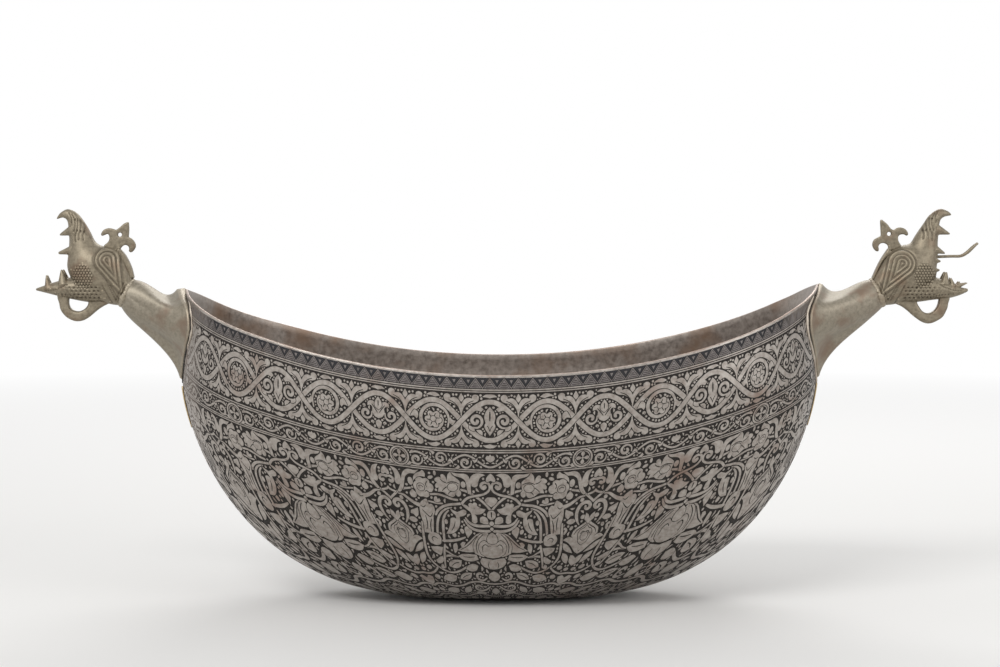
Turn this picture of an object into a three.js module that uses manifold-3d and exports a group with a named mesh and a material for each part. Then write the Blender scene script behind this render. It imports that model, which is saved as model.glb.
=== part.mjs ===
// Kashkul: a boat-shaped begging bowl of tinned sheet copper, with a cast dragon's head at each end.
//
// X runs along the bowl, Y across it and Z up. The origin is the centre of the flat oval that the
// bowl rests on. Every cast piece is drawn for the end at +X, and those of the other end are turned
// half way round the bowl's upright axis. The two ends were made by eye and differ by a few
// millimetres, so each head has its own measures, and the right prow is a little shorter.

import * as THREE from 'three';
import { mergeVertices } from 'three/addons/utils/BufferGeometryUtils.js';
import Module from 'manifold-3d';

const wasm = await Module();
wasm.setup();

// Driving dimensions of the bowl, in millimetres
const HALF_LENGTH = 207.6;
const HALF_WIDTH = 105;
const SHEET = 1.6;
const RIM_MIDDLE_HEIGHT = 151;
const RIM_TIP_HEIGHT = 202;
const FULL_HEIGHT = 144;
const BASE_CUT = 1;
const TUMBLEHOME = 1.8;
const PROW_RIDGE = 3.5;
const PROW_RIDGE_SPREAD = 14;

// The right prow was raised a little shorter than the left one
const RIGHT_SHORTER = 3.3;
const SHORTER_UNTIL = 237;

// Roundness of the bowl: how full the keel line, the cross-section and the plan are
const SIDE_POWER = 1.6;
const KEEL_POWER = 3.1;
const SECTION_POWER = 2.6;
const PLAN_POWER_BASE = 2.0;
const PLAN_POWER_RIM = 2.4;

// Driving dimensions of the castings, in millimetres
const SEAM = 0.35;
const FLANGE_EDGE = 1.4;
const TENON_RADIUS = 5.2;
const TENON_LENGTH = 12;
const CREST_THICKNESS = 3.6;
const STRAP_WIDTH = 6.4;
const LOOP_THICKNESS = 6;
const TONGUE_RADIUS = 0.95;

const clamp = THREE.MathUtils.clamp;
const lerp = THREE.MathUtils.lerp;

// Closing, joining and cutting

function closed(geometry) {
  const bare = geometry.clone();
  bare.deleteAttribute('normal');
  bare.deleteAttribute('uv');
  const merged = mergeVertices(bare, 1e-3);
  const source = merged.index.array;
  const kept = [];
  for (let i = 0; i < source.length; i += 3) {
    const [a, b, c] = [source[i], source[i + 1], source[i + 2]];
    if (a !== b && b !== c && c !== a) {
      kept.push(a, b, c);
    }
  }
  merged.setIndex(kept);
  return volumeOf(merged) < 0 ? turnedOutward(merged) : merged;
}

function volumeOf(geometry) {
  const corner = [0, 1, 2].map(() => new THREE.Vector3());
  const index = geometry.index.array;
  let volume = 0;
  for (let i = 0; i < index.length; i += 3) {
    corner.forEach((point, k) => point.fromBufferAttribute(geometry.attributes.position, index[i + k]));
    volume += corner[0].dot(corner[1].cross(corner[2])) / 6;
  }
  return volume;
}

function turnedOutward(geometry) {
  const index = geometry.index.array;
  for (let i = 0; i < index.length; i += 3) {
    [index[i], index[i + 1]] = [index[i + 1], index[i]];
  }
  return geometry;
}

function solid(geometry) {
  const body = closed(geometry);
  return new wasm.Manifold(new wasm.Mesh({
    numProp: 3,
    vertProperties: new Float32Array(body.attributes.position.array),
    triVerts: new Uint32Array(body.index.array),
  }));
}

function geometryOf(body) {
  const mesh = body.getMesh();
  const geometry = new THREE.BufferGeometry();
  geometry.setAttribute('position', new THREE.BufferAttribute(mesh.vertProperties, 3));
  geometry.setIndex(new THREE.BufferAttribute(mesh.triVerts, 1));
  geometry.computeVertexNormals();
  return geometry;
}

function joined(geometries) {
  return geometries.map(solid).reduce((whole, piece) => whole.add(piece));
}

// A piece pared back so that a thin seam of solder is left between it and what it sits on
function seated(piece, neighbour, outX, outZ) {
  const length = Math.hypot(outX, outZ);
  const moved = geometryOf(neighbour).translate(SEAM * outX / length, 0, SEAM * outZ / length);
  return piece.subtract(solid(moved));
}

// Moves every point of a shape: place receives the point and changes it
function shaped(geometry, place) {
  const position = geometry.attributes.position;
  const point = new THREE.Vector3();
  for (let i = 0; i < position.count; i += 1) {
    point.fromBufferAttribute(position, i);
    place(point);
    position.setXYZ(i, point.x, point.y, point.z);
  }
  return geometry;
}

// A drum whose rings and caps are moved: place(along 0 to 1, angle, reach 0 to 1) gives the new point
function lofted(rings, around, place) {
  return shaped(new THREE.CylinderGeometry(1, 1, 1, around, rings), (point) => {
    const reach = Math.min(1, Math.hypot(point.x, point.z));
    point.copy(place(0.5 - point.y, Math.atan2(point.x, point.z), reach));
  });
}

// An outline in the upright middle plane, given as [out, up] points, made thick across the bowl
function plate(shape, thickness, bevel) {
  const geometry = new THREE.ExtrudeGeometry(shape, {
    depth: thickness - 2 * bevel,
    bevelEnabled: bevel > 0,
    bevelThickness: bevel,
    bevelSize: bevel,
    bevelOffset: -bevel,
    bevelSegments: 1,
  });
  geometry.translate(0, 0, bevel - thickness / 2);
  geometry.rotateX(Math.PI / 2);
  return geometry;
}

function spline(points) {
  return new THREE.SplineCurve(points.map(([x, y]) => new THREE.Vector2(x, y)));
}

// An outline from a start point and runs of points: a run of one point is a straight line, and a
// longer one is a smooth curve through its points
function outlined(start, runs, Outline = THREE.Shape) {
  const points = [new THREE.Vector2(...start)];
  runs.forEach((run) => {
    const from = points[points.length - 1];
    const line = spline([[from.x, from.y], ...run]);
    points.push(...line.getPoints(run.length > 1 ? run.length * 2 : 1).slice(1));
  });
  if (points[0].distanceTo(points[points.length - 1]) < 1e-6) {
    points.pop();
  }
  return new Outline(points);
}

// The hull: one smooth surface that every other piece is fitted to

function depthShare(z) {
  return clamp((FULL_HEIGHT - z) / (FULL_HEIGHT + BASE_CUT), 0, 1) ** SIDE_POWER;
}

function leanIn(z) {
  return TUMBLEHOME * clamp((z - FULL_HEIGHT) / (RIM_TIP_HEIGHT - FULL_HEIGHT), 0, 1);
}

function halfLengthAt(z) {
  return HALF_LENGTH * (1 - depthShare(z)) ** (1 / KEEL_POWER) - leanIn(z);
}

function halfWidthAt(z) {
  return HALF_WIDTH * (1 - depthShare(z)) ** (1 / SECTION_POWER) - leanIn(z);
}

function planPowerAt(z) {
  return lerp(PLAN_POWER_BASE, PLAN_POWER_RIM, clamp(z / FULL_HEIGHT, 0, 1));
}

function hullPoint(angle, z) {
  const power = 2 / planPowerAt(z);
  const along = Math.cos(angle);
  const across = Math.sin(angle);
  const y = halfWidthAt(z) * Math.sign(across) * Math.abs(across) ** power;
  const ridge = PROW_RIDGE * clamp(z / FULL_HEIGHT, 0, 1);
  const x = (halfLengthAt(z) - ridge) * Math.abs(along) ** power
    + ridge * Math.exp(-Math.abs(y) / PROW_RIDGE_SPREAD);
  return new THREE.Vector3(x * (Math.sign(along) || 1), y, z);
}

function hullNormal(angle, z) {
  const step = 1e-3;
  const around = hullPoint(angle + step, z).sub(hullPoint(angle - step, z));
  const upward = hullPoint(angle, z + 1).sub(hullPoint(angle, z - 1));
  return around.cross(upward).normalize();
}

// The rim sweeps up from the middle of each side, and faster close to the tips
function rimHeight(angle) {
  const rise = RIM_TIP_HEIGHT - RIM_MIDDLE_HEIGHT;
  let z = FULL_HEIGHT;
  for (let pass = 0; pass < 8; pass += 1) {
    const reach = Math.abs(hullPoint(angle, z).x) / (HALF_LENGTH - TUMBLEHOME);
    z = RIM_MIDDLE_HEIGHT + rise * (0.85 * reach ** 2.1 + 0.15 * reach ** 10);
  }
  return z;
}

// The point of the hull at +X that is across by y at height z, lifted off the surface
function onProw(y, z, lift) {
  const share = Math.min(1, Math.abs(y) / halfWidthAt(z)) ** (planPowerAt(z) / 2);
  const angle = Math.asin(share) * Math.sign(y);
  return hullPoint(angle, z).addScaledVector(hullNormal(angle, z), lift);
}

// One sheet, raised from the flat: the profile runs from the middle of the base up the outside,
// over the rim and down the inside, with the columns closer together towards the prows
function bowlBody() {
  const outerRows = 16;
  const innerRows = 11;
  const around = 72;
  const profile = [];
  for (let row = 0; row <= outerRows + innerRows + 1; row += 1) {
    profile.push(new THREE.Vector2(row === 0 || row > outerRows + innerRows ? 0 : 1, row));
  }
  const heightShare = (share) => share ** 1.9;
  const geometry = new THREE.LatheGeometry(profile, around);
  shaped(geometry, (point) => {
    const row = Math.round(point.y);
    const turn = row === 0 || row > outerRows + innerRows ? 0 : Math.atan2(point.x, point.z);
    const angle = turn - 0.225 * Math.sin(2 * turn);
    const outside = row <= outerRows;
    if (row === 0) {
      point.set(0, 0, 0);
      return;
    }
    if (row > outerRows + innerRows) {
      point.set(0, 0, SHEET);
      return;
    }
    const share = outside ? (row - 1) / (outerRows - 1) : 1 - (row - outerRows - 1) / (innerRows - 1);
    const z = rimHeight(angle) * heightShare(share);
    point.copy(hullPoint(angle, z));
    if (!outside && share < 1) {
      const normal = share > 0 ? hullNormal(angle, z) : new THREE.Vector3(0, 0, -1);
      point.addScaledVector(normal, -SHEET);
    }
    if (!outside && share === 1) {
      const normal = hullNormal(angle, z).setZ(0).normalize();
      point.addScaledVector(normal, -SHEET);
    }
  });
  return solid(geometry);
}

// Draws the right end in. The shift grows from the middle of the bowl to its prow, and fades out
// along the neck, so that the joint with the head stays in place.
function drawnIn(point) {
  const share = clamp((point[0] - HALF_LENGTH) / (SHORTER_UNTIL - HALF_LENGTH), 0, 1);
  const beyond = 1 - share * share * (3 - 2 * share);
  point[0] -= RIGHT_SHORTER * Math.min(Math.max(0, point[0] / HALF_LENGTH), beyond);
}

// The joint between neck and head: a round tenon on the head in a socket in the neck

const JOINT = new THREE.Vector3(243.5, 0, 198);
const JOINT_OUT = new THREE.Vector3(0.904, 0, 0.428).normalize();
const JOINT_RADIUS = 9.6;

function rodAtJoint(radius, from, to) {
  const rod = new THREE.CylinderGeometry(radius, radius, to - from, 20);
  rod.applyQuaternion(new THREE.Quaternion().setFromUnitVectors(new THREE.Vector3(0, 1, 0), JOINT_OUT));
  const middle = JOINT.clone().addScaledVector(JOINT_OUT, (from + to) / 2);
  return rod.translate(middle.x, middle.y, middle.z);
}

function jointRing(angle, offset) {
  const up = new THREE.Vector3(-JOINT_OUT.z, 0, JOINT_OUT.x);
  return JOINT.clone()
    .addScaledVector(JOINT_OUT, offset)
    .addScaledVector(up, JOINT_RADIUS * Math.cos(angle))
    .add(new THREE.Vector3(0, JOINT_RADIUS * Math.sin(angle), 0));
}

// The leaf-shaped flange: half of its outline on the prow, as [across, height] from top to bottom.
// The right flange peaks over the tip of the rim, and the left one ends under it.
const FLANGE_TOPS = { right: 203.8, left: 200.9 };
const FLANGE_MIDDLE_HEIGHT = 174;

function flangeOutline(end) {
  return spline([
    [0, FLANGE_TOPS[end]], [13, 198], [25.5, 193.5], [31.5, 183], [29.4, 173], [19.5, 160], [8, 149], [0, 142.6],
  ]);
}

function flangeEdge(outline, angle, lift, reach = 1) {
  const half = outline.getPoint(Math.min(1, Math.abs(angle) / Math.PI));
  const y = half.x * Math.sign(angle) * reach;
  return onProw(y, lerp(FLANGE_MIDDLE_HEIGHT, half.y, reach), lift);
}

// The neck: every line along it is a curve from the round joint to the edge of the flange
function neck(side) {
  const outline = flangeOutline(side);
  const into = new THREE.Vector3(-0.77, 0, -0.64).normalize();
  const horn = (along, angle) => {
    const start = jointRing(angle, -SEAM);
    const end = flangeEdge(outline, angle, SEAM + FLANGE_EDGE);
    const half = outline.getPoint(Math.min(1, Math.abs(angle) / Math.PI));
    const inward = onProw(half.x * Math.sign(angle) * 0.5, lerp(FLANGE_MIDDLE_HEIGHT, half.y, 0.5), 0)
      .sub(end).normalize();
    const out = onProw(half.x * Math.sign(angle), half.y, 20).sub(onProw(half.x * Math.sign(angle), half.y, 0))
      .normalize();
    const above = Math.max(Math.cos(angle), 0);
    const below = Math.min(Math.cos(angle), 0);
    const fuller = 0.12 + 0.3 * above + 0.2 * below;
    const first = start.clone().addScaledVector(into, 14).addScaledVector(start.clone().sub(JOINT), fuller);
    const second = end.clone()
      .addScaledVector(inward, 11.5 - 3.5 * Math.cos(angle))
      .addScaledVector(out, 5.5 + 1.5 * above + 4.2 * below);
    return new THREE.CubicBezierCurve3(start, first, second, end).getPoint(along);
  };
  const hornRings = 11;
  const undersideRings = 5;
  const rings = hornRings + undersideRings;
  const body = lofted(rings, 28, (along, angle, reach) => {
    const ring = Math.round(along * rings);
    if (ring === 0) {
      return reach > 0 ? horn(0, angle) : JOINT.clone().addScaledVector(JOINT_OUT, -SEAM);
    }
    if (ring <= hornRings) {
      return horn(ring / hornRings, angle);
    }
    const share = reach * (1 - 0.88 * (ring - hornRings - 1) / (undersideRings - 1));
    return flangeEdge(outline, angle, SEAM, share);
  });
  return solid(body).subtract(solid(rodAtJoint(TENON_RADIUS + SEAM, -TENON_LENGTH - 2 * SEAM, 3)));
}

// A strip of brass over the seam of the prow, from just under the flange down
function prowStrip() {
  const top = 139.4;
  const bottom = 112;
  const bar = new THREE.BoxGeometry(1, 1, 1, 1, 2, 8);
  return solid(shaped(bar, (point) => {
    const share = point.z + 0.5;
    const halfWidth = lerp(1.2, 3, share);
    const lift = SEAM + (point.x + 0.5) * lerp(0.6, 0.9, share);
    point.copy(onProw(2 * point.y * halfWidth, lerp(bottom, top, share), lift));
  }));
}

// The measures of the heads, as [out, up] in the upright middle plane. A tooth is its root and tip,
// how far it stands from that plane, and its radius at the root and at the tip.
const RIGHT_HEAD = {
  crown: [
    [240.2, 206.6], [243.4, 212.8], [247.4, 219.8], [252.6, 226], [259, 228.8], [264.6, 230.2],
    [268.4, 236], [272.8, 242.4], [277.2, 248.6], [283.4, 252.5], [288.8, 251.2], [291.3, 249],
  ],
  mouth: [
    [248, 189.9], [255.4, 190.8], [266, 194], [275.6, 200.5], [281.4, 208.2], [282, 214.6],
    [282.6, 221.4], [282.6, 230.6], [283.2, 239], [284, 244.8], [286.6, 247.3], [291, 248.2],
  ],
  jawCrown: [
    [262, 205.6], [272, 207.6], [281, 208.2], [288.4, 205.6], [295, 202.4], [302.4, 200.9],
  ],
  jawMouth: [
    [256, 192.8], [267, 191.9], [280, 193.5], [290.6, 194.7], [297.6, 196.7], [302.4, 198.9],
  ],
  teeth: [
    [280.4, 239.4, 289.4, 236.2, 2.8, 3.9, 0.9],
    [280.6, 226.2, 286.2, 223.8, 3.8, 2.7, 0.9],
    [281, 218.8, 283.8, 218.8, 4.4, 1.7, 0.8],
    [280.2, 212.8, 283.2, 213, 4.6, 1.7, 0.7],
    [286.6, 204, 287.4, 210.4, 4.2, 3.3, 1.4],
    [291.4, 202.8, 290.9, 206.8, 3.4, 1.6, 0.5],
    [294.4, 202.4, 301, 204.6, 2.2, 1.6, 0.4],
    [293.2, 202, 294.9, 205.2, 3, 1.3, 0.4],
  ],
  ear: { out: 258, up: 217.2, tipOut: 245.6, tipUp: 198.6, radius: 8.6 },
  socket: { out: 282, up: 221.4 },
  slot: { out: 254.4, up: 226.4 },
  palmette: {
    start: [258.6, 226.6],
    runs: [
      [[258.7, 229.1]],
      [[257.4, 231.1], [256.8, 233], [257.1, 235], [258.7, 235.9], [260.7, 235.9], [262.3, 235]],
      [
        [263.3, 235.9], [262.9, 237.6], [261.3, 239.5], [258.7, 240.5], [256.1, 240.2], [254.2, 238.9],
      ],
      [[252.2, 239.6], [249.6, 242.8], [246, 245.7]],
      [[245.2, 244.7], [245.4, 240.2], [245.7, 235]],
      [
        [243.1, 233.7], [241.2, 232.4], [240.2, 229.8], [240.8, 227.2], [242.5, 225.2], [244.1, 224.9],
      ],
      [
        [244.4, 226.5], [244.1, 228.2], [245.1, 229.8], [247, 230.4], [249, 229.8], [250.3, 228.5],
        [250.8, 225.6],
      ],
    ],
  },
  eye: { out: 250.9, up: 236.3 },
  strap: {
    start: [253, 224.4],
    runs: [
      [[250.4, 227]],
      [[245.8, 220], [242.4, 213.2], [239.8, 207.2]],
      [[241.4, 206.8]],
      [[243.9, 212.8], [247.4, 219.4], [253, 224.4]],
    ],
  },
  loopOutside: {
    start: [290.6, 201],
    runs: [
      [
        [290.6, 194.6], [289.7, 191.4], [289.3, 188.8], [288, 185.6], [286, 182.3], [282.1, 179.7],
        [278.2, 178.2], [274.3, 178.5], [270.4, 180.6], [266.5, 183.6], [262.6, 187], [258.7, 189.6],
        [254, 191.4],
      ],
      [[256, 198]],
      [[290.6, 201]],
    ],
  },
  loopInside: {
    start: [283.5, 203],
    runs: [
      [[283.5, 194]],
      [
        [282.9, 190.6], [281.2, 187.4], [278.4, 185.3], [275.6, 185], [273, 186.2], [271, 188.8],
        [269.4, 192.4],
      ],
      [[269.6, 203]],
      [[283.5, 203]],
    ],
  },
};

const LEFT_HEAD = {
  crown: [
    [239.5, 206.4], [242, 213.6], [246, 221.4], [252, 227], [260, 228.8], [264, 231.8], [267, 237.8],
    [270.8, 244.2], [275.4, 249.8], [281.2, 252.4], [286.2, 250], [288.8, 246.4],
  ],
  mouth: [
    [247.5, 189.8], [255, 190.8], [266, 194], [275, 200.5], [280, 208.4], [282, 215], [281.4, 222.5],
    [280.6, 231.5], [281, 239.5], [281.8, 244.8], [284.6, 246.8], [288.2, 245.8],
  ],
  jawCrown: [
    [262, 205.6], [272, 207.4], [280, 208], [288, 205.8], [296, 203.2], [302.6, 200.9],
  ],
  jawMouth: [
    [256, 192.8], [267, 191.9], [280, 194.1], [289, 196.2], [296.8, 198.2], [302.6, 199.6],
  ],
  teeth: [
    [277.6, 238.8, 286, 236.2, 2.8, 3.7, 0.9],
    [277.4, 225.6, 286.7, 222.8, 3.8, 3.4, 1.1],
    [285, 203, 285.4, 211.4, 4.4, 3.1, 1.2],
    [293.8, 200.8, 295.1, 208.2, 2.8, 2.4, 1],
  ],
  ear: { out: 254.8, up: 219.4, tipOut: 245.8, tipUp: 199.6, radius: 7.9 },
  socket: { out: 281, up: 219.2 },
  slot: { out: 252.4, up: 225.6 },
  palmette: {
    start: [258.4, 226.6],
    runs: [
      [[258.1, 228.9]],
      [[255.6, 231], [254.6, 233], [254.7, 235], [255.6, 236.2], [257.6, 235.6], [259.4, 234.8]],
      [[259.9, 236.4], [258.3, 238.8], [255.6, 240], [252.9, 239.8], [250.2, 238.9]],
      [[248, 240.4], [245, 243], [242, 244.2]],
      [[241.7, 239.4], [242.1, 234.3]],
      [[239.8, 233], [237.9, 230.4], [237.6, 227.8], [239.2, 225.2], [240.8, 224.3], [242.1, 225.2]],
      [[241.8, 226.8], [242.5, 228.4], [244.4, 229.1], [246.3, 228.1], [247.7, 226], [248.6, 223]],
    ],
  },
  eye: { out: 247.7, up: 235.8 },
  strap: {
    start: [252, 223],
    runs: [
      [[248.5, 227.6]],
      [[244, 222.4], [240.4, 215], [238.6, 207.8]],
      [[242.5, 206.6]],
      [[245.5, 214], [252, 223]],
    ],
  },
  loopOutside: {
    start: [288.8, 201],
    runs: [
      [
        [288.6, 195.3], [287.5, 191.4], [286.7, 187.5], [284.7, 184.2], [281.5, 181.4], [276.9, 179.6],
        [272.4, 180], [268.5, 182], [264.6, 185.2], [261.3, 187.8], [256.8, 190.4], [252.9, 191.6],
      ],
      [[256, 198]],
      [[288.8, 201]],
    ],
  },
  loopInside: {
    start: [280.9, 203],
    runs: [
      [[280.9, 194.6]],
      [
        [281.1, 191.4], [280.1, 188.4], [277.6, 186.6], [274.3, 186.2], [271.1, 187.6], [268.9, 190.2],
        [268.5, 193],
      ],
      [[268.5, 203]],
      [[280.9, 203]],
    ],
  },
};

// Skull half-widths from the neck to the snout, and jaw half-widths from the throat to the lip
const SKULL_WIDTHS = [9.6, 10.8, 12, 12.6, 11.6, 9.8, 8.2, 6.4, 4.8, 3.6, 2.4, 1];
const JAW_WIDTHS = [9, 9.4, 8.4, 6.6, 4.2, 1.3];

// A dragon's head: skull and upper jaw in one sweep, with the lower jaw joined under it.
// Each section is an ellipse between a point on the crown side and one on the mouth side.
function sweepOfSections(crown, mouth, halfWidths, rings, around) {
  const crownLine = spline(crown);
  const mouthLine = spline(mouth);
  const widthLine = spline(halfWidths.map((width, i) => [i, width]));
  return lofted(rings, around, (along, angle, reach) => {
    const high = crownLine.getPoint(along);
    const low = mouthLine.getPoint(along);
    const height = (1 + reach * Math.cos(angle)) / 2;
    return new THREE.Vector3(
      lerp(low.x, high.x, height),
      reach * widthLine.getPoint(along).y * Math.sin(angle),
      lerp(low.y, high.y, height),
    );
  });
}

function tooth(baseX, baseZ, tipX, tipZ, across, radius, tipRadius) {
  const base = new THREE.Vector3(baseX, across, baseZ);
  const tip = new THREE.Vector3(tipX, across * 0.8, tipZ);
  const lean = tip.clone().sub(base);
  const cone = new THREE.CylinderGeometry(tipRadius, radius, lean.length(), 6);
  cone.applyQuaternion(new THREE.Quaternion().setFromUnitVectors(
    new THREE.Vector3(0, 1, 0), lean.clone().normalize(),
  ));
  const middle = base.add(tip).multiplyScalar(0.5);
  return cone.translate(middle.x, middle.y, middle.z);
}

function teeth(measures) {
  return measures.teeth.flatMap(([x, z, tipX, tipZ, across, radius, tipRadius]) => [
    tooth(x, z, tipX, tipZ, across, radius, tipRadius),
    tooth(x, z, tipX, tipZ, -across, radius, tipRadius),
  ]);
}

// A teardrop lying on the cheek: its round end behind the brow, its point at the neck joint.
// The ear is three of them, one on the other, which leaves a stepped ridge round each.
const EAR_TILT = 0.14;
const EAR_LAYERS = [[1, 1, 13.8], [0.69, 0.86, 14.4], [0.38, 0.62, 15]];

function earLayer(ear, share, tipShare, top, side) {
  const radius = ear.radius * share;
  const run = Math.hypot(ear.tipOut - ear.out, ear.tipUp - ear.up) * tipShare;
  const open = Math.acos(radius / run);
  const drop = new THREE.Shape();
  drop.moveTo(run, 0);
  drop.lineTo(radius * Math.cos(open), radius * Math.sin(open));
  drop.absarc(0, 0, radius, open, 2 * Math.PI - open, false);
  drop.closePath();
  const geometry = new THREE.ExtrudeGeometry(drop, {
    depth: 7, bevelThickness: 0.5, bevelSize: 0.5, bevelSegments: 1, curveSegments: 7,
  });
  geometry.translate(0, 0, top - 7.5);
  geometry.rotateY(EAR_TILT);
  geometry.rotateZ(side * Math.atan2(ear.tipUp - ear.up, ear.tipOut - ear.out));
  geometry.rotateX(side > 0 ? Math.PI / 2 : -Math.PI / 2);
  return geometry.translate(ear.out, 0, ear.up);
}

function ears(measures) {
  return EAR_LAYERS.flatMap(([share, tipShare, top]) => [
    earLayer(measures.ear, share, tipShare, top, 1),
    earLayer(measures.ear, share, tipShare, top, -1),
  ]);
}

// The crest stands in a slot across the crown
function crestStem(measures, clearance) {
  const block = new THREE.BoxGeometry(6.4 + 2 * clearance, CREST_THICKNESS + 2 * clearance, 9 + 2 * clearance);
  return block.rotateY(-0.2).translate(measures.slot.out, 0, measures.slot.up);
}

function tongueSocket(measures) {
  const hole = new THREE.CylinderGeometry(TONGUE_RADIUS + SEAM, TONGUE_RADIUS + SEAM, 12, 12);
  return hole.rotateZ(Math.PI / 2).translate(measures.socket.out, 0, measures.socket.up);
}

function headCasting(measures) {
  const skull = sweepOfSections(measures.crown, measures.mouth, SKULL_WIDTHS, 22, 16);
  const jaw = sweepOfSections(measures.jawCrown, measures.jawMouth, JAW_WIDTHS, 10, 12);
  const tenon = rodAtJoint(TENON_RADIUS, -TENON_LENGTH, 4);
  return joined([skull, jaw, tenon, ...ears(measures), ...teeth(measures)]);
}

function head(casting, measures) {
  return casting.subtract(solid(crestStem(measures, SEAM))).subtract(solid(tongueSocket(measures)));
}

// The crest: a flat palmette with two hooked side leaves, and a strap from it down the nape
function crest(casting, measures) {
  const leaf = outlined(measures.palmette.start, measures.palmette.runs);
  const eye = new THREE.Path();
  eye.absarc(measures.eye.out, measures.eye.up, 1.35, 0, 2 * Math.PI, true);
  leaf.holes.push(eye);
  const strap = outlined(measures.strap.start, measures.strap.runs);
  const whole = joined([plate(leaf, CREST_THICKNESS, 0.35), plate(strap, STRAP_WIDTH, 0.4)]);
  const clearOfHead = seated(whole, casting, -0.75, 0.66).add(solid(crestStem(measures, 0)));
  return clearOfHead.decompose().sort((a, b) => b.volume() - a.volume())[0];
}

// The loop under the jaw that the carrying chain hooked into: a flat bar bent to a D
function chainLoop(casting, measures) {
  const outside = outlined(measures.loopOutside.start, measures.loopOutside.runs);
  const inside = outlined(measures.loopInside.start, measures.loopInside.runs);
  const bar = solid(plate(outside, LOOP_THICKNESS, 0.8));
  const bent = bar.subtract(solid(plate(inside, 2 * LOOP_THICKNESS, 0)));
  const pieces = seated(bent, casting, 0.1, -1).decompose();
  return pieces.sort((a, b) => a.boundingBox().min[2] - b.boundingBox().min[2])[0];
}

// The tongue that is left: a wire that curls up to a flattened leaf
function tongue() {
  const route = new THREE.CatmullRomCurve3([
    [278, 221.4], [286, 221.5], [292, 221.7], [297.4, 221.9], [301.4, 224], [305, 227.4],
  ].map(([x, z]) => new THREE.Vector3(x, 0, z)));
  const section = new THREE.Shape();
  section.absarc(0, 0, TONGUE_RADIUS, 0, 2 * Math.PI, false);
  const wire = new THREE.ExtrudeGeometry(section, { steps: 12, extrudePath: route, curveSegments: 3 });
  const leaf = new THREE.SphereGeometry(1, 8, 6);
  leaf.scale(4.6, 1.9, 1.1).rotateY(-0.8).translate(305.7, 0, 227.9);
  return joined([wire, leaf]);
}

// The materials and the assembly

const tinnedCopper = { color: 0x9a948c, roughness: 0.42, metalness: 0.9 };
const bronze = { color: 0x8f806c, roughness: 0.5, metalness: 0.8 };
const palePatina = { color: 0x8c8872, roughness: 0.55, metalness: 0.7 };
const brass = { color: 0xa88c58, roughness: 0.4, metalness: 0.9 };

const kashkul = new THREE.Group();

function addPiece(name, body, finish, turn = 0) {
  const mesh = new THREE.Mesh(geometryOf(body), new THREE.MeshStandardMaterial(finish));
  mesh.name = name;
  mesh.rotation.z = turn;
  kashkul.add(mesh);
}

addPiece('bowl_body', bowlBody().warp(drawnIn), tinnedCopper);
const ends = [['right', RIGHT_HEAD, 0], ['left', LEFT_HEAD, Math.PI]];
ends.forEach(([end, measures, turn]) => {
  const casting = headCasting(measures);
  const atProw = [neck(end), prowStrip()];
  const [horn, strip] = end === 'right' ? atProw.map((piece) => piece.warp(drawnIn)) : atProw;
  addPiece(`neck_${end}`, horn, palePatina, turn);
  addPiece(`head_${end}`, head(casting, measures), bronze, turn);
  addPiece(`crest_${end}`, crest(casting, measures), bronze, turn);
  addPiece(`chain_loop_${end}`, chainLoop(casting, measures), bronze, turn);
  addPiece(`prow_strip_${end}`, strip, brass, turn);
});
addPiece('tongue_right', tongue(), bronze);

export default kashkul;
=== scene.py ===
# %% [markdown]
# # A kashkul: the boat-shaped bowl of a travelling dervish
#
# The real bowl is a sheet of copper, hammered up into a boat, tinned and then engraved with a burin.
# Two dragon heads were cast in bronze and soldered to the prows. Every size below is in millimetres
# of that real object, and is turned to metres only where a mesh is made.

# %% Load the frame that every piece is fitted to
import math

import bmesh
import bpy
import numpy as np
from mathutils import Matrix, Vector


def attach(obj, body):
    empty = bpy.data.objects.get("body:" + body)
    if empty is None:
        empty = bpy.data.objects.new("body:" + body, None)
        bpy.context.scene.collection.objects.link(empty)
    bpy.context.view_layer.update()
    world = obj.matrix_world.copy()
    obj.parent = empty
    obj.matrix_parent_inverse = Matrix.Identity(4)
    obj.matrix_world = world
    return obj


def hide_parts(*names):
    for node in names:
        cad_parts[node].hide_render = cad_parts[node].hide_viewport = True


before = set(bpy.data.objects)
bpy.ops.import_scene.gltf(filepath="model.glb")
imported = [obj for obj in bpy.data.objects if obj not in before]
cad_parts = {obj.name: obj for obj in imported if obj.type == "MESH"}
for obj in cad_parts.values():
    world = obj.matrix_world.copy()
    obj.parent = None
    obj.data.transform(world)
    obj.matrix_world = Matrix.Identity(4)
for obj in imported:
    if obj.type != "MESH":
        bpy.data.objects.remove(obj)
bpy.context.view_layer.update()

# %% [markdown]
# ## From numbers to meshes
#
# A smooth form such as a hull can be made in two steps: an operator lays out a plain grid, and then
# every vertex is moved to its place on the form. That keeps the operator's clean rows of quads. The
# alternative, pulling points by hand, can't be repeated when a size changes.

# %% Helpers that make, shape and keep a piece
MM = 0.001


def positions(mesh):
    """Every vertex of a mesh as rows of x, y, z."""
    flat = np.zeros(3 * len(mesh.vertices))
    mesh.vertices.foreach_get("co", flat)
    return flat.reshape(-1, 3)


def set_positions(mesh, points):
    mesh.vertices.foreach_set("co", points.astype(np.float32).ravel())
    mesh.update()


def mesh_from(bm, name):
    """A mesh data block from a bmesh, which is freed."""
    mesh = bpy.data.meshes.new(name)
    bm.to_mesh(mesh)
    bm.free()
    return mesh


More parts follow.
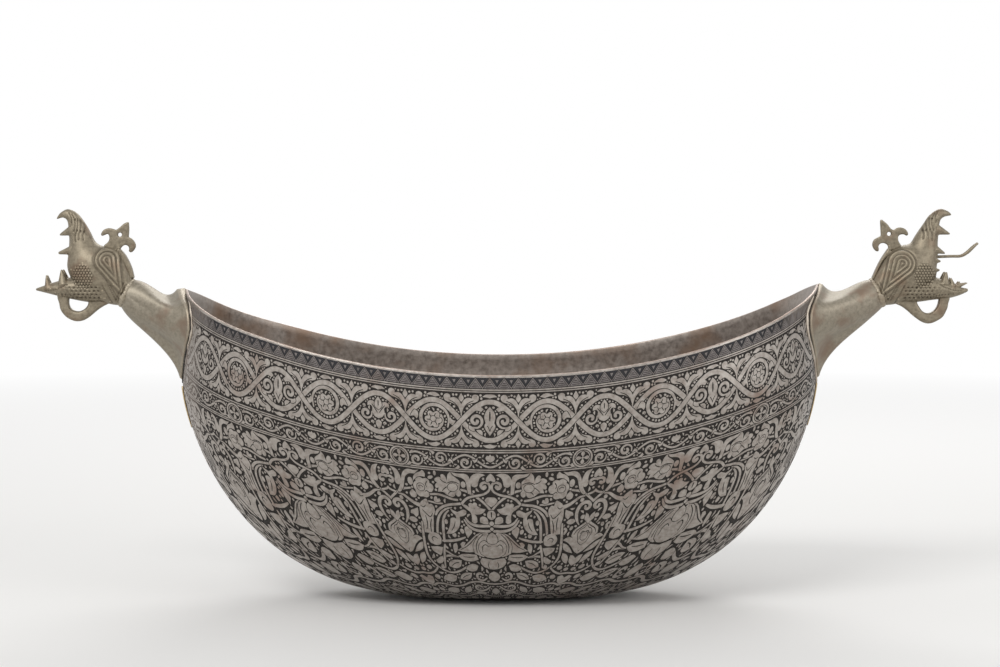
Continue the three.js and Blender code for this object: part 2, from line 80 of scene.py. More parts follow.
def grid_mesh(name, columns, rows, place, wall_map=None, finish=None):
    """A grid whose vertices are moved by place(share across, share down), which gives mm.

    wall_map gives the UV map in metres, and finish the material's number for each face.
    """
    bm = bmesh.new()
    bmesh.ops.create_grid(bm, x_segments=columns, y_segments=rows, size=1)
    mesh = mesh_from(bm, name)
    flat = positions(mesh)
    low, high = flat.min(0), flat.max(0)
    across = (flat[:, 0] - low[0]) / (high[0] - low[0])
    down = (high[1] - flat[:, 1]) / (high[1] - low[1])
    set_positions(mesh, place(across, down) * MM)
    corners = np.zeros(len(mesh.loops), int)
    mesh.loops.foreach_get("vertex_index", corners)
    if wall_map is not None:
        layer = mesh.uv_layers.new(name="wall")
        layer.data.foreach_set("uv", wall_map(across, down)[corners].astype(np.float32).ravel())
    if finish is not None:
        corners = corners.reshape(-1, 4)
        numbers = finish(across[corners].mean(1), down[corners].mean(1))
        mesh.polygons.foreach_set("material_index", numbers.astype(np.int32))
    weld(mesh)
    return mesh


def weld(mesh, gap=0.004 * MM):
    """Merges the doubles of a mesh, drops edges without length and points its faces outward."""
    bm = bmesh.new()
    bm.from_mesh(mesh)
    bmesh.ops.remove_doubles(bm, verts=bm.verts, dist=gap)
    bmesh.ops.dissolve_degenerate(bm, edges=bm.edges, dist=gap)
    bmesh.ops.recalc_face_normals(bm, faces=bm.faces)
    bm.to_mesh(mesh)
    bm.free()


def keep(mesh, name, stands_for=(), materials=(), smooth=True):
    """Links a finished mesh as a piece that rides on the bowl's one body."""
    piece = bpy.data.objects.new(name, mesh)
    bpy.context.scene.collection.objects.link(piece)
    mesh.polygons.foreach_set("use_smooth", [smooth] * len(mesh.polygons))
    for material in materials:
        mesh.materials.append(material)
    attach(piece, "root")
    if stands_for:
        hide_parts(*stands_for)
    print(name, "faces", len(mesh.polygons))
    return piece


# %% Helpers that add a material node
def linear(hex_colour, alpha=1.0):
    """An sRGB hex colour as the linear values that a node takes."""
    channels = [int(hex_colour[i:i + 2], 16) / 255 for i in (1, 3, 5)]
    made = [c / 12.92 if c <= 0.04045 else ((c + 0.055) / 1.055) ** 2.4 for c in channels]
    return (*made, alpha)


def node(tree, kind, settings=None, **inputs):
    """Adds a node. An input given as a socket is linked, and any other value is set."""
    made = tree.nodes.new(kind)
    for key, value in (settings or {}).items():
        setattr(made, key, value)
    for key, value in inputs.items():
        name = key.replace("_", " ")
        numbered = key.startswith("in") and key[2:].isdigit()
        socket = made.inputs[int(key[2:]) if numbered else name]
        if isinstance(value, bpy.types.NodeSocket):
            tree.links.new(value, socket)
        else:
            socket.default_value = value
    return made


def new_material(name):
    """A new material: itself, its node tree and its shader."""
    material = bpy.data.materials.new(name)
    material.use_nodes = True
    tree = material.node_tree
    return material, tree, tree.nodes["Principled BSDF"]


def ramp(tree, factor, stops):
    """A colour ramp from (position, hex colour) stops."""
    made = node(tree, "ShaderNodeValToRGB", Fac=factor)
    bar = made.color_ramp
    while len(bar.elements) < len(stops):
        bar.elements.new(0.5)
    for element, (position, colour) in zip(bar.elements, stops):
        element.position = position
        element.color = linear(colour)
    return made.outputs["Color"]


print("helpers ready")

# %% [markdown]
# ## The hull's surface
#
# The smith's hull is full in plan, straight-sided near the rim and flattened underneath. Level
# curves that are rounded rectangles (superellipses) give that with a few numbers: how the length and
# the width grow with height. The rim is a curve on that surface that sweeps up to the tips. The same
# numbers are used as in the frame, so all the castings meet it. The smith didn't raise both prows
# quite alike, and a last function moves the points of each end by those few millimetres.

# %% The hull as level curves
HALF_LENGTH = 207.6
HALF_WIDTH = 105
SHEET = 1.6
RIM_MIDDLE_HEIGHT = 151
RIM_TIP_HEIGHT = 202
FULL_HEIGHT = 144
BASE_CUT = 1
TUMBLEHOME = 1.8
PROW_RIDGE = 3.5
PROW_RIDGE_SPREAD = 14
SIDE_POWER = 1.6
KEEL_POWER = 3.1
SECTION_POWER = 2.6
PLAN_POWER_BASE = 2.0
PLAN_POWER_RIM = 2.4
# The rise of the rim: shares of it, and the power of the reach along the bowl that each follows
RIM_SWEEP = ((0.85, 2.1), (0.15, 10))
# How the ends differ, in mm, and over which spans of x or z each difference fades in or out
RIGHT_SHORTER = 3.3
RIGHT_SHORTER_BELOW = (185, 203)
RIGHT_TIP_RISE = 1.2
RIGHT_RISE_ALONG = (192, 206)
RIGHT_RISE_UP = (180, 200)
LEFT_LOWER = 2.2
LEFT_LOWER_ALONG = (135, 200)
LEFT_LOWER_UP = (60, 150)
UNEVEN_UNTIL = 237


def ease(value, low, high):
    """A share that starts and ends gently between two values."""
    share = np.clip((value - low) / (high - low), 0, 1)
    return share * share * (3 - 2 * share)


def half_width_at(z):
    """Half the hull's width across its middle, at a height."""
    depth = np.clip((FULL_HEIGHT - z) / (FULL_HEIGHT + BASE_CUT), 0, 1) ** SIDE_POWER
    return HALF_WIDTH * (1 - depth) ** (1 / SECTION_POWER) - lean_in(z)


def lean_in(z):
    """How far the top of the wall leans back in."""
    return TUMBLEHOME * np.clip((z - FULL_HEIGHT) / (RIM_TIP_HEIGHT - FULL_HEIGHT), 0, 1)


def hull_point(angle, z):
    """The hull at an angle round it, 0 at the right prow, and a height."""
    depth = np.clip((FULL_HEIGHT - z) / (FULL_HEIGHT + BASE_CUT), 0, 1) ** SIDE_POWER
    length = HALF_LENGTH * (1 - depth) ** (1 / KEEL_POWER) - lean_in(z)
    fullness = np.clip(z / FULL_HEIGHT, 0, 1)
    power = 2 / (PLAN_POWER_BASE + (PLAN_POWER_RIM - PLAN_POWER_BASE) * fullness)
    along, across = np.cos(angle), np.sin(angle)
    y = half_width_at(z) * np.sign(across) * np.abs(across) ** power
    ridge = PROW_RIDGE * fullness
    x = (length - ridge) * np.abs(along) ** power + ridge * np.exp(-np.abs(y) / PROW_RIDGE_SPREAD)
    return np.stack([x * np.where(along < 0, -1, 1), y, z + 0 * x], -1)


def rim_height(angle):
    """The rim's height: it rises slowly from the middle of a side, and fast at the tip."""
    z = np.full(np.shape(angle), float(FULL_HEIGHT))
    for _ in range(8):
        reach = np.abs(hull_point(angle, z)[..., 0]) / (HALF_LENGTH - TUMBLEHOME)
        rise = sum(share * reach ** power for share, power in RIM_SWEEP)
        z = RIM_MIDDLE_HEIGHT + (RIM_TIP_HEIGHT - RIM_MIDDLE_HEIGHT) * rise
    return z


def uneven(points, end):
    """Points at +X as they lie at one end, for the two prows weren't raised quite alike.

    The right one is shorter below its tip, and the left one lies lower. Both fade out along the neck.
    """
    x, y, z = points[..., 0], points[..., 1], points[..., 2]
    beyond = 1 - ease(x, HALF_LENGTH, UNEVEN_UNTIL)
    if end == "left":
        lower = LEFT_LOWER * ease(x, *LEFT_LOWER_ALONG) * ease(z, *LEFT_LOWER_UP) * beyond
        return np.stack([x, y, z - lower], -1)
    along = np.minimum(np.clip(x / HALF_LENGTH, 0, None), beyond)
    shorter = RIGHT_SHORTER * along * (1 - ease(z, *RIGHT_SHORTER_BELOW))
    rise = RIGHT_TIP_RISE * ease(x, *RIGHT_RISE_ALONG) * ease(z, *RIGHT_RISE_UP) * beyond
    return np.stack([x - shorter, y, z + rise], -1)


print("rim from", rim_height(np.array([math.pi / 2])), "to", rim_height(np.array([0.0])))

# %% [markdown]
# ## A map to engrave on
#
# An engraver measures from the rim down and steps round it with dividers. The map below does the
# same: turn is the share of the way round at a level, and drop is millimetres down the wall. A table
# of the quarter hull, read with straight lines between its entries, is quick enough to place a
# million engraved points, where working out each one would take minutes.

# %% The map from turn and drop to a point on the hull
QUARTER = 180
LEVELS = 240
ALONG_CURVE = 3000
# Above 1, so that the levels lie closer together near the base, where the wall turns under
LEVEL_POWER = 1.9
# Once round the rim, in mm: the length that the engraver's map is laid out with
RIM_LENGTH = 1046.0

angles = np.linspace(0, math.pi / 2, ALONG_CURVE)
rim_heights = rim_height(angles)
quarter = np.zeros((QUARTER + 1, LEVELS, 3))
for level, share in enumerate(np.linspace(1, 0, LEVELS)):
    curve = hull_point(angles, rim_heights * share ** LEVEL_POWER)
    steps = np.linalg.norm(np.diff(curve, axis=0), axis=1)
    run = np.concatenate([[0], np.cumsum(steps)])
    for axis in range(3):
        quarter[:, level, axis] = np.interp(np.linspace(0, run[-1], QUARTER + 1), run, curve[:, axis])

# Once round, from the middle of the near side over the right prow, the far side and the left prow
hull_table = np.concatenate([
    (quarter * (1, -1, 1))[:0:-1], quarter[:-1],
    (quarter * (-1, 1, 1))[:0:-1], (quarter * (-1, -1, 1))[:-1],
])
hull_table = np.concatenate([hull_table, hull_table[:1]])
turned_table = uneven(hull_table * (-1, 1, 1), "left") * (-1, 1, 1)
hull_table = np.where(hull_table[..., :1] > 0, uneven(hull_table, "right"), turned_table)
walls = np.linalg.norm(np.diff(hull_table, axis=1), axis=2)
drop_table = np.concatenate([np.zeros((len(hull_table), 1)), np.cumsum(walls, axis=1)], axis=1)
wall_length = drop_table[:, -1]

round_step = np.roll(hull_table[:-1], -1, axis=0) - np.roll(hull_table[:-1], 1, axis=0)
round_step = np.concatenate([round_step, round_step[:1]])
down_step = np.gradient(hull_table, axis=1)
normal_table = np.cross(down_step, round_step)
normal_table /= np.linalg.norm(normal_table, axis=2, keepdims=True) + 1e-12


def wall_at(turn):
    """How long the wall is from rim to base at a turn."""
    return np.interp(np.mod(turn, 1), np.linspace(0, 1, len(wall_length)), wall_length)


def on_hull(turn, drop, lift=0.0):
    """Points on the hull. turn is 0 to 1 round it, drop is mm below the rim, lift is mm outward."""
    turn, drop, lift = np.broadcast_arrays(*(np.asarray(v, float) for v in (turn, drop, lift)))
    column = np.mod(turn, 1) * (len(hull_table) - 1)
    first = np.clip(column.astype(int), 0, len(hull_table) - 2)
    part = column - first
    point = np.zeros((*turn.shape, 3))
    normal = np.zeros((*turn.shape, 3))
    for index, weight in ((first, 1 - part), (first + 1, part)):
        ladder = drop_table[index]
        rung = np.clip((ladder < drop[..., None]).sum(-1) - 1, 0, LEVELS - 2)
        low = np.take_along_axis(ladder, rung[..., None], -1)[..., 0]
        high = np.take_along_axis(ladder, rung[..., None] + 1, -1)[..., 0]
        share = np.clip((drop - low) / np.maximum(high - low, 1e-9), 0, 1)[..., None]
        for table, out in ((hull_table, point), (normal_table, normal)):
            out += weight[..., None] * (table[index, rung] * (1 - share) + table[index, rung + 1] * share)
    normal /= np.linalg.norm(normal, axis=-1, keepdims=True)
    return point + normal * lift[..., None]


print("wall length, mm: side %.0f, prow %.0f" % (wall_at(0.0), wall_at(0.25)))

# %% [markdown]
# ## Materials of the bowl
#
# Tinning leaves a soft grey metal that dulls and picks up warm brown where it thins over the copper.
# The engraver cut the ground away in fine crossed strokes and rubbed black into it, so the ground
# reads as a dark, finely ruled surface. Both patterns follow the wall, so they read the piece's own
# UV map, in which one unit is one metre along the wall.

# %% Tinned copper, and the ruled black ground
def clouds(tree, coordinates, size_mm, detail=3.0, roughness=0.55):
    """Soft noise whose patches are about size_mm across."""
    return node(tree, "ShaderNodeTexNoise", Vector=coordinates, Scale=1000 / size_mm,
                Detail=detail, Roughness=roughness).outputs["Fac"]


def blend(tree, share, one, two, mode="MIX"):
    """Mixes two colours: share, and either, may be a socket."""
    made = node(tree, "ShaderNodeMix", {"data_type": "RGBA", "blend_type": mode})
    for index, value in ((0, share), (6, one), (7, two)):
        if isinstance(value, bpy.types.NodeSocket):
            tree.links.new(value, made.inputs[index])
        else:
            made.inputs[index].default_value = value
    return made.outputs[2]


def between(tree, value, low, high, out_low=0.0, out_high=1.0):
    """A value rescaled from one range to another, and held inside it."""
    made = node(tree, "ShaderNodeMapRange", Value=value)
    made.inputs["From Min"].default_value = low
    made.inputs["From Max"].default_value = high
    made.inputs["To Min"].default_value = out_low
    made.inputs["To Max"].default_value = out_high
    return made.outputs["Result"]


def relief(tree, shader, height, depth_mm, strength=1.0):
    """Gives the shader a bump of a real depth."""
    made = node(tree, "ShaderNodeBump", Strength=strength, Distance=depth_mm * MM, Height=height)
    tree.links.new(made.outputs["Normal"], shader.inputs["Normal"])


def tinned_copper(name, pale, middle, warm, dull=0.36, warmth=(0.58, 0.74)):
    """Tin wiped hot over copper: grey, with warm patches where the wiping left it thin."""
    material, tree, shader = new_material(name)
    place = node(tree, "ShaderNodeTexCoord").outputs["Object"]
    # Wiping marks of 30 mm or so, and a finer mottle of dull spots
    patches = clouds(tree, place, 32, 4)
    mottle = clouds(tree, place, 3.2, 5, 0.65)
    grey = ramp(tree, mottle, [(0.32, middle), (0.62, pale)])
    worn = between(tree, patches, *warmth)
    tree.links.new(blend(tree, worn, grey, linear(warm)), shader.inputs["Base Color"])
    shader.inputs["Metallic"].default_value = 0.85
    roughness = between(tree, mottle, 0.3, 0.7, dull - 0.06, dull + 0.12)
    tree.links.new(roughness, shader.inputs["Roughness"])
    relief(tree, shader, clouds(tree, place, 1.2, 4, 0.6), 0.05, 0.5)
    return material


STROKE_SPACING = 0.9


def worn_towards_prow(tree, colour, spans):
    """Near a prow the cuts have worn smooth. Each span is the x, in mm, where that starts and is done."""
    place = node(tree, "ShaderNodeTexCoord").outputs["Object"]
    x = node(tree, "ShaderNodeSeparateXYZ", Vector=place).outputs["X"]
    for start, done in spans:
        colour = blend(tree, between(tree, x, start * MM, done * MM, 0, 0.9), colour, linear("#7a716a"))
    return colour


def ruled_ground(name, dark, light, worn, fill=0.5):
    """Ground cut with a burin in two crossed sets of strokes and rubbed with black."""
    material, tree, shader = new_material(name)
    wall = node(tree, "ShaderNodeTexCoord").outputs["UV"]
    crossed = None
    for angle in (48, -41):
        turned = node(tree, "ShaderNodeMapping", Vector=wall)
        turned.inputs["Rotation"].default_value = (0, 0, math.radians(angle))
        strokes = node(tree, "ShaderNodeTexWave", {"bands_direction": "X"}, Vector=turned.outputs["Vector"],
                       Distortion=1.2, Detail=2.0, Scale=math.pi / 10 * 1000 / STROKE_SPACING)
        strokes.inputs["Detail Scale"].default_value = 1.5
        crossed = strokes.outputs["Fac"] if crossed is None else node(
            tree, "ShaderNodeMath", {"operation": "MULTIPLY"}, in0=crossed, in1=strokes.outputs["Fac"],
        ).outputs["Value"]
    left = between(tree, crossed, fill, 0.95)
    colour = worn_towards_prow(tree, blend(tree, left, linear(dark), linear(light)), worn)
    tree.links.new(colour, shader.inputs["Base Color"])
    shader.inputs["Metallic"].default_value = 0.3
    shader.inputs["Roughness"].default_value = 0.62
    relief(tree, shader, crossed, 0.12, 0.6)
    return material


def blackened(name, colour, worn):
    """The steep sides of the cuts, black from the paste that was rubbed in. The same black also paints the
    shadow in the gap behind each flange.
    """
    material, tree, shader = new_material(name)
    place = node(tree, "ShaderNodeTexCoord").outputs["Object"]
    soot = clouds(tree, place, 0.9, 3)
    black = ramp(tree, soot, [(0.4, colour), (0.8, "#3a312a")])
    tree.links.new(worn_towards_prow(tree, black, worn), shader.inputs["Base Color"])
    shader.inputs["Metallic"].default_value = 0.2
    shader.inputs["Roughness"].default_value = 0.7
    return material


tin = tinned_copper("tinned_copper", "#b0a9a2", "#8d857e", "#8a776c", 0.32)
tin_inside = tinned_copper("tinned_copper_worn_inside", "#9c938b", "#7d746d", "#86705f", 0.36, (0.5, 0.72))
rim_copper = tinned_copper("copper_worn_bare_at_rim", "#b3a297", "#948378", "#8f7566", 0.34, (0.5, 0.72))
# The wide band has worn smooth beside the left flange, and the rim's band beside both
BAND_WORN = [(-189, -196)]
RIM_WORN = [(-180, -190), (174, 184)]
ground = ruled_ground("blackened_ground", "#15110e", "#453c34", BAND_WORN)
zigzag_ground = ruled_ground("blackened_rim_band", "#1b1b1f", "#4c4b50", RIM_WORN, 0.4)
edge_black = blackened("blackened_cut_edges", "#120e0b", BAND_WORN)
rim_edge_black = blackened("blackened_cuts_of_the_rim", "#120e0b", RIM_WORN)
print("bowl materials", [m.name for m in (tin, tin_inside, rim_copper, ground, zigzag_ground)])

# %% [markdown]
# ## The raised sheet
#
# The bowl is one sheet 1.6 mm thick. It could be a surface with a Solidify modifier, but the rim of
# the real one is filed round, so one grid is wrapped from the middle of the base up the outside, over
# the rim and down the inside. Its rows sit on the edges of the engraved bands, so that each band can
# have its own ground.

# %% The bowl
RIM_BAND = (0.9, 7.6)
RIM_LINE = (7.6, 9.9)
MAIN_BAND = (9.9, 45.4)
MAIN_LINE = (45.4, 48.0)
SCROLL_BAND = (48.0, 58.2)
FIELD_TOP = 60.6
COLUMNS = 320
# How far the filed rim stands up, as a share of the sheet, and what the flat takes on the wall's map
RIM_CROWN = 0.45
FLAT_ON_MAP = 20


def steps_between(low, high, spacing):
    """Even steps from low up to, but not including, high."""
    count = max(1, round((high - low) / spacing))
    return [low + (high - low) * k / count for k in range(count)]


band_edges = [0.0, *RIM_BAND, RIM_LINE[1], MAIN_BAND[1], MAIN_LINE[1], SCROLL_BAND[1], FIELD_TOP]
fixed_drops = [d for low, high in zip(band_edges, band_edges[1:]) for d in steps_between(low, high, 3.6)]
lower_shares = np.linspace(0, 1, 44)

# Each row is a drop that is fixed in mm, or a share of the way from the field's top to the base
outer_rows = [("mm", d) for d in fixed_drops] + [("share", s) for s in lower_shares]
rim_rows = [("rim", a) for a in np.linspace(0, math.pi, 7)[1:-1]]
inner_rows = [("mm", d) for d in steps_between(0.0, FIELD_TOP, 4.0)]
inner_rows += [("share", s) for s in lower_shares[::2]]
rows = [("flat", 0.0), ("flat", 0.5)] + [("out", r) for r in reversed(outer_rows)] + rim_rows
rows += [("in", r) for r in inner_rows] + [("flat_in", 0.5), ("flat_in", 0.0)]


def row_points(row, turn):
    """One row of the sheet: on the flat, up the outside, over the rim or down the inside."""
    kind, value = row
    wall = wall_at(turn)
    if kind in ("out", "in"):
        measure, amount = value
        drop = amount + 0 * turn if measure == "mm" else FIELD_TOP + (wall - FIELD_TOP) * amount
        return on_hull(turn, drop, 0.0 if kind == "out" else -SHEET)
    if kind == "rim":
        outer, inner = on_hull(turn, 0.0), on_hull(turn, 0.0, -SHEET)
        middle, half = (outer + inner) / 2, (outer - inner) / 2
        return middle + half * math.cos(value) + np.array([0, 0, RIM_CROWN * SHEET]) * math.sin(value)
    edge = on_hull(turn, wall, 0.0 if kind == "flat" else -SHEET)
    centre = np.array([0, 0, 1.0]) * (0 if kind == "flat" else SHEET)
    return edge * value + centre * (1 - value)


def bowl_points(across, down):
    """The sheet's points, row by row, with none under the table it stands on."""
    index = np.rint(down * (len(rows) - 1)).astype(int)
    points = np.zeros((len(across), 3))
    for k, row in enumerate(rows):
        here = index == k
        points[here] = row_points(row, across[here])
    points[:, 2] = np.maximum(points[:, 2], 0)
    return points


def bowl_wall_map(across, down):
    """Metres round the rim, and metres below it."""
    index = np.rint(down * (len(rows) - 1)).astype(int)
    drops = np.zeros(len(across))
    for k, (kind, value) in enumerate(rows):
        here = index == k
        wall = wall_at(across[here])
        if kind in ("out", "in"):
            measure, amount = value
            drops[here] = amount if measure == "mm" else FIELD_TOP + (wall - FIELD_TOP) * amount
        elif kind != "rim":
            drops[here] = wall + FLAT_ON_MAP * (1 - value)
    return np.stack([across * RIM_LENGTH * MM, -drops * MM], -1)


def bowl_finish(across, down):
    """0 plain tin, 1 engraved ground, 2 rim band's ground, 3 the worn inside, 4 the rim's edge."""
    numbers = np.zeros(len(across), int)
    index = np.floor(down * (len(rows) - 1)).astype(int)
    for k in range(len(rows) - 1):
        (kind, value), (kind_below, value_below) = rows[k], rows[k + 1]
        if kind in ("in", "flat_in") or kind_below in ("in", "flat_in"):
            numbers[index == k] = 3
        elif kind == "rim":
            numbers[index == k] = 4
        elif kind == "out" and kind_below == "out":
            if value[0] == "share" and value_below[0] == "share":
                numbers[index == k] = 1
                continue
            lower = value[1] if value[0] == "mm" else FIELD_TOP
            middle = (lower + value_below[1]) / 2
            if middle > RIM_BAND[0]:
                numbers[index == k] = 2 if middle < RIM_BAND[1] else 1
    return numbers


bowl_mesh = grid_mesh("bowl_body_sheet", COLUMNS, len(rows) - 1, bowl_points, bowl_wall_map, bowl_finish)
bowl_metals = [tin, ground, zigzag_ground, tin_inside, rim_copper]
keep(bowl_mesh, "bowl_sheet", ["bowl_body"], bowl_metals)

# %% [markdown]
# ## The cast necks
#
# Each neck was cast in one piece with a leaf-shaped flange, filed to the prow and soldered on. In
# Blender a loft between the round joint and the flange's outline gives that form. Every line along
# it is a curve with two handles, which leaves the joint along the horn and meets the hull at a slant,
# so the neck flares without a crease.

# %% Patinated bronze
def patinated_bronze(name, pale, middle, warm, worn, warmth=(0.5, 0.66)):
    """Old bronze: a thin grey-green skin with brown patches, pale on its sharp edges, which is partly rubbed
    wear and partly a painted highlight, and darker in every hollow, which is painted shade.
    """
    material, tree, shader = new_material(name)
    place = node(tree, "ShaderNodeTexCoord").outputs["Object"]
    patches = clouds(tree, place, 17, 3)
    grain = clouds(tree, place, 2.2, 5, 0.7)
    skin = ramp(tree, grain, [(0.3, middle), (0.6, pale)])
    browned = blend(tree, between(tree, patches, *warmth, 0.0, 0.85), skin, linear(warm))
    # What was punched, which is kept as an attribute, is darkened, and every other hollow gets painted shade
    punched = node(tree, "ShaderNodeAttribute", {"attribute_name": "recess"}).outputs["Fac"]
    edges = node(tree, "ShaderNodeNewGeometry").outputs["Pointiness"]
    # Sharp edges get the worn colour, partly as rubbed wear and partly as a painted highlight
    rubbed = between(tree, edges, 0.53, 0.62, 0.0, 0.8)
    painted_hollow_shade = between(tree, edges, 0.485, 0.43, 0.0, 0.75)
    darkened_punches = blend(tree, between(tree, punched, 0, 1, 0, 0.72), browned, linear("#3a3022"))
    shaded = blend(tree, painted_hollow_shade, darkened_punches, linear("#3d3328"))
    tree.links.new(blend(tree, rubbed, shaded, linear(worn)), shader.inputs["Base Color"])
    shader.inputs["Metallic"].default_value = 0.7
    tree.links.new(between(tree, grain, 0.3, 0.7, 0.38, 0.58), shader.inputs["Roughness"])
    relief(tree, shader, grain, 0.08, 0.5)
    return material


neck_bronze = patinated_bronze("patinated_bronze", "#989081", "#7a7264", "#806d5d", "#b8ab97")
print("neck material", neck_bronze.name)

# %% The flange's outline and the lines of a neck
SEAM = 0.35
FLANGE_EDGE = 1.4
JOINT = np.array([243.5, 0, 198])
JOINT_OUT = np.array([0.904, 0, 0.428]) / math.hypot(0.904, 0.428)
JOINT_UP = np.array([-JOINT_OUT[2], 0, JOINT_OUT[0]])
JOINT_RADIUS = 9.6
# Half a flange from top to bottom, as distances from the prow's middle line and heights
FLANGE_OUTLINES = {
    "right": [(0, 203.2), (17, 197), (27.4, 192), (32, 183.5),
              (31, 173.5), (21, 162), (8, 151.5), (0, 142.6)],
    "left": [(0, 203.4), (16.5, 197.6), (28, 192.6), (32.8, 183),
             (32, 174), (21.5, 163.5), (8, 153), (0, 143.6)],
}
FLANGE_TOP_EDGE = {"right": 1.4, "left": 4.4}
FLANGE_MIDDLE_HEIGHT = 174
# The way a line leaves the joint, and the lengths of its handles in mm: at the neck's sides, and what
# is added to them at its top and at its bottom
HORN_AHEAD = (-0.77, 0, -0.64)
JOINT_HANDLE = (14, -3.1, 0)
INWARD_HANDLE = (11.5, 1.5, 9.8)
OUTWARD_HANDLE = (5.5, 6, 1.6)
# How far the horn swells beyond the joint, in radii of the joint, given in the same three parts
NECK_FULLNESS = {"right": (0.12, 0.68, 0.12), "left": (0.12, 0.68, 0.66)}


def curve_through(points, shares):
    """A smooth curve through points (Catmull-Rom), read at shares of its length in points."""
    points = np.asarray(points, float)
    last = len(points) - 1
    place = np.clip(np.asarray(shares, float), 0, 1) * last
    i = np.clip(place.astype(int), 0, last - 1)
    t = (place - i).reshape(*place.shape, *([1] * (points.ndim - 1)))
    a, b, c, d = (points[np.clip(i + k, 0, last)] for k in (-1, 0, 1, 2))
    return 0.5 * (2 * b + (c - a) * t + (2 * a - 5 * b + 4 * c - d) * t ** 2
                  + (3 * b - a - 3 * c + d) * t ** 3)


def read_points(text):
    """Points from a text of pairs, each with a comma inside and a blank behind."""
    return [tuple(float(c) for c in pair.split(",")) for pair in text.split()]


def form_outline(text, fine=3):
    """An outline from runs parted by bars: the runs are smooth, and meet at points."""
    runs = [read_points(run) for run in text.split("|")]
    points = [runs[0][0]]
    first = runs[0][1:]
    for run in ([first] if first else []) + runs[1:]:
        line = [points[-1], *run]
        count = (len(run) * fine if len(run) > 1 else 1) + 1
        points += [tuple(p) for p in curve_through(line, np.linspace(0, 1, count))[1:]]
    line = [points[-1], points[0]]
    if math.dist(*line) < 0.05:
        points.pop()
    return np.array(points)


def bead_outline(x, y, across, down=None, turn=0.0, count=10):
    """An oval, turned by degrees."""
    down = down or across
    angles = np.linspace(0, 2 * math.pi, count, endpoint=False)
    c, s = math.cos(math.radians(turn)), math.sin(math.radians(turn))
    u, v = across * np.cos(angles), down * np.sin(angles)
    return np.stack([x + u * c - v * s, y + u * s + v * c], -1)


def on_prow(y, z, lift=0.0):
    """The hull at +X, across by y at height z, lifted off the surface."""
    power = PLAN_POWER_BASE + (PLAN_POWER_RIM - PLAN_POWER_BASE) * np.clip(z / FULL_HEIGHT, 0, 1)
    angle = np.arcsin(np.minimum(1, np.abs(y) / half_width_at(z)) ** (power / 2)) * np.sign(y)
    step = 1e-3
    around = hull_point(angle + step, z) - hull_point(angle - step, z)
    upward = hull_point(angle, z + 1) - hull_point(angle, z - 1)
    normal = np.cross(around, upward)
    normal /= np.linalg.norm(normal, axis=-1, keepdims=True)
    return hull_point(angle, z) + normal * np.asarray(lift)[..., None]


def flange_point(end, angle, reach=1.0, lift=0.0):
    """A point on the prow inside a flange's outline: reach is 0 in its middle and 1 at its edge."""
    half = curve_through(FLANGE_OUTLINES[end], np.abs(angle) / math.pi)
    y = half[..., 0] * np.sign(angle) * reach
    return on_prow(y, FLANGE_MIDDLE_HEIGHT + (half[..., 1] - FLANGE_MIDDLE_HEIGHT) * reach, lift)


def unit(vectors):
    """The vectors at a length of 1."""
    return vectors / np.linalg.norm(vectors, axis=-1, keepdims=True)


def horn_point(side, angle, along):
    """A neck's surface: along is 0 at the round joint and 1 at the flange's edge."""
    ring = JOINT_UP * np.cos(angle)[..., None] + np.array([0, 1, 0]) * np.sin(angle)[..., None]
    start = JOINT - JOINT_OUT * SEAM + ring * JOINT_RADIUS
    lean = np.cos(angle)[..., None]
    above, below = np.maximum(lean, 0), np.maximum(-lean, 0)
    edge = FLANGE_EDGE + (FLANGE_TOP_EDGE[side] - FLANGE_EDGE) * above[..., 0] ** 4
    end = flange_point(side, angle, 1.0, SEAM + edge)
    inward = unit(flange_point(side, angle, 0.5) - end)
    out = unit(flange_point(side, angle, 1.0, 20) - flange_point(side, angle, 1.0))
    ahead = unit(np.array(HORN_AHEAD))

    def sized(at_sides, at_top, at_bottom):
        return at_sides + at_top * above + at_bottom * below

    first = start + ahead * sized(*JOINT_HANDLE) + ring * JOINT_RADIUS * sized(*NECK_FULLNESS[side])
    second = end + inward * sized(*INWARD_HANDLE) + out * sized(*OUTWARD_HANDLE)
    t = np.asarray(along)[..., None]
    return start * (1 - t) ** 3 + first * 3 * t * (1 - t) ** 2 + second * 3 * t ** 2 * (1 - t) + end * t ** 3


print("joint ring at", JOINT.round(1))

# %% The two necks
HORN_ROWS = 44
UNDERSIDE_ROWS = 8


def neck_points(end):
    """What gives one neck its points: rows down the horn, then under the flange."""
    def place(across, down):
        last = HORN_ROWS + UNDERSIDE_ROWS + 1
        row = np.rint(down * last)
        angle = (across * 2 - 1) * math.pi
        horn = horn_point(end, angle, np.clip((row - 1) / HORN_ROWS, 0, 1))
        reach = 1 - 0.97 * np.clip((row - HORN_ROWS - 1) / (UNDERSIDE_ROWS - 1), 0, 1)
        points = np.where((row <= HORN_ROWS)[:, None], horn, flange_point(end, angle, reach, SEAM))
        points[row == 0] = JOINT - JOINT_OUT * 4
        return uneven(points, end)

    return place


def at_end(mesh, end):
    """A casting as it is for the right end, and turned half round the upright axis for the left."""
    if end == "left":
        mesh.transform(Matrix.Rotation(math.pi, 4, "Z"))
    return mesh


for end in ("right", "left"):
    neck_mesh = grid_mesh(f"neck_{end}_cast", 96, HORN_ROWS + UNDERSIDE_ROWS + 1, neck_points(end))
    keep(at_end(neck_mesh, end), f"neck_cast_{end}", [f"neck_{end}"], [neck_bronze])

# %% [markdown]
# ## The dragons' heads
#
# A head was modelled in wax, cast in bronze and then chased. The same order works here. Simple closed
# forms are laid over each other for the skull, jaws and teeth, a voxel remesh melts them into one
# skin, as wax joins, and smoothing rounds the joins. The ears, scales and wrinkles are then pressed
# into that skin, as the chaser's punches do, by moving its points. Both heads were made by eye and
# aren't quite alike, so each has its own list of measures.

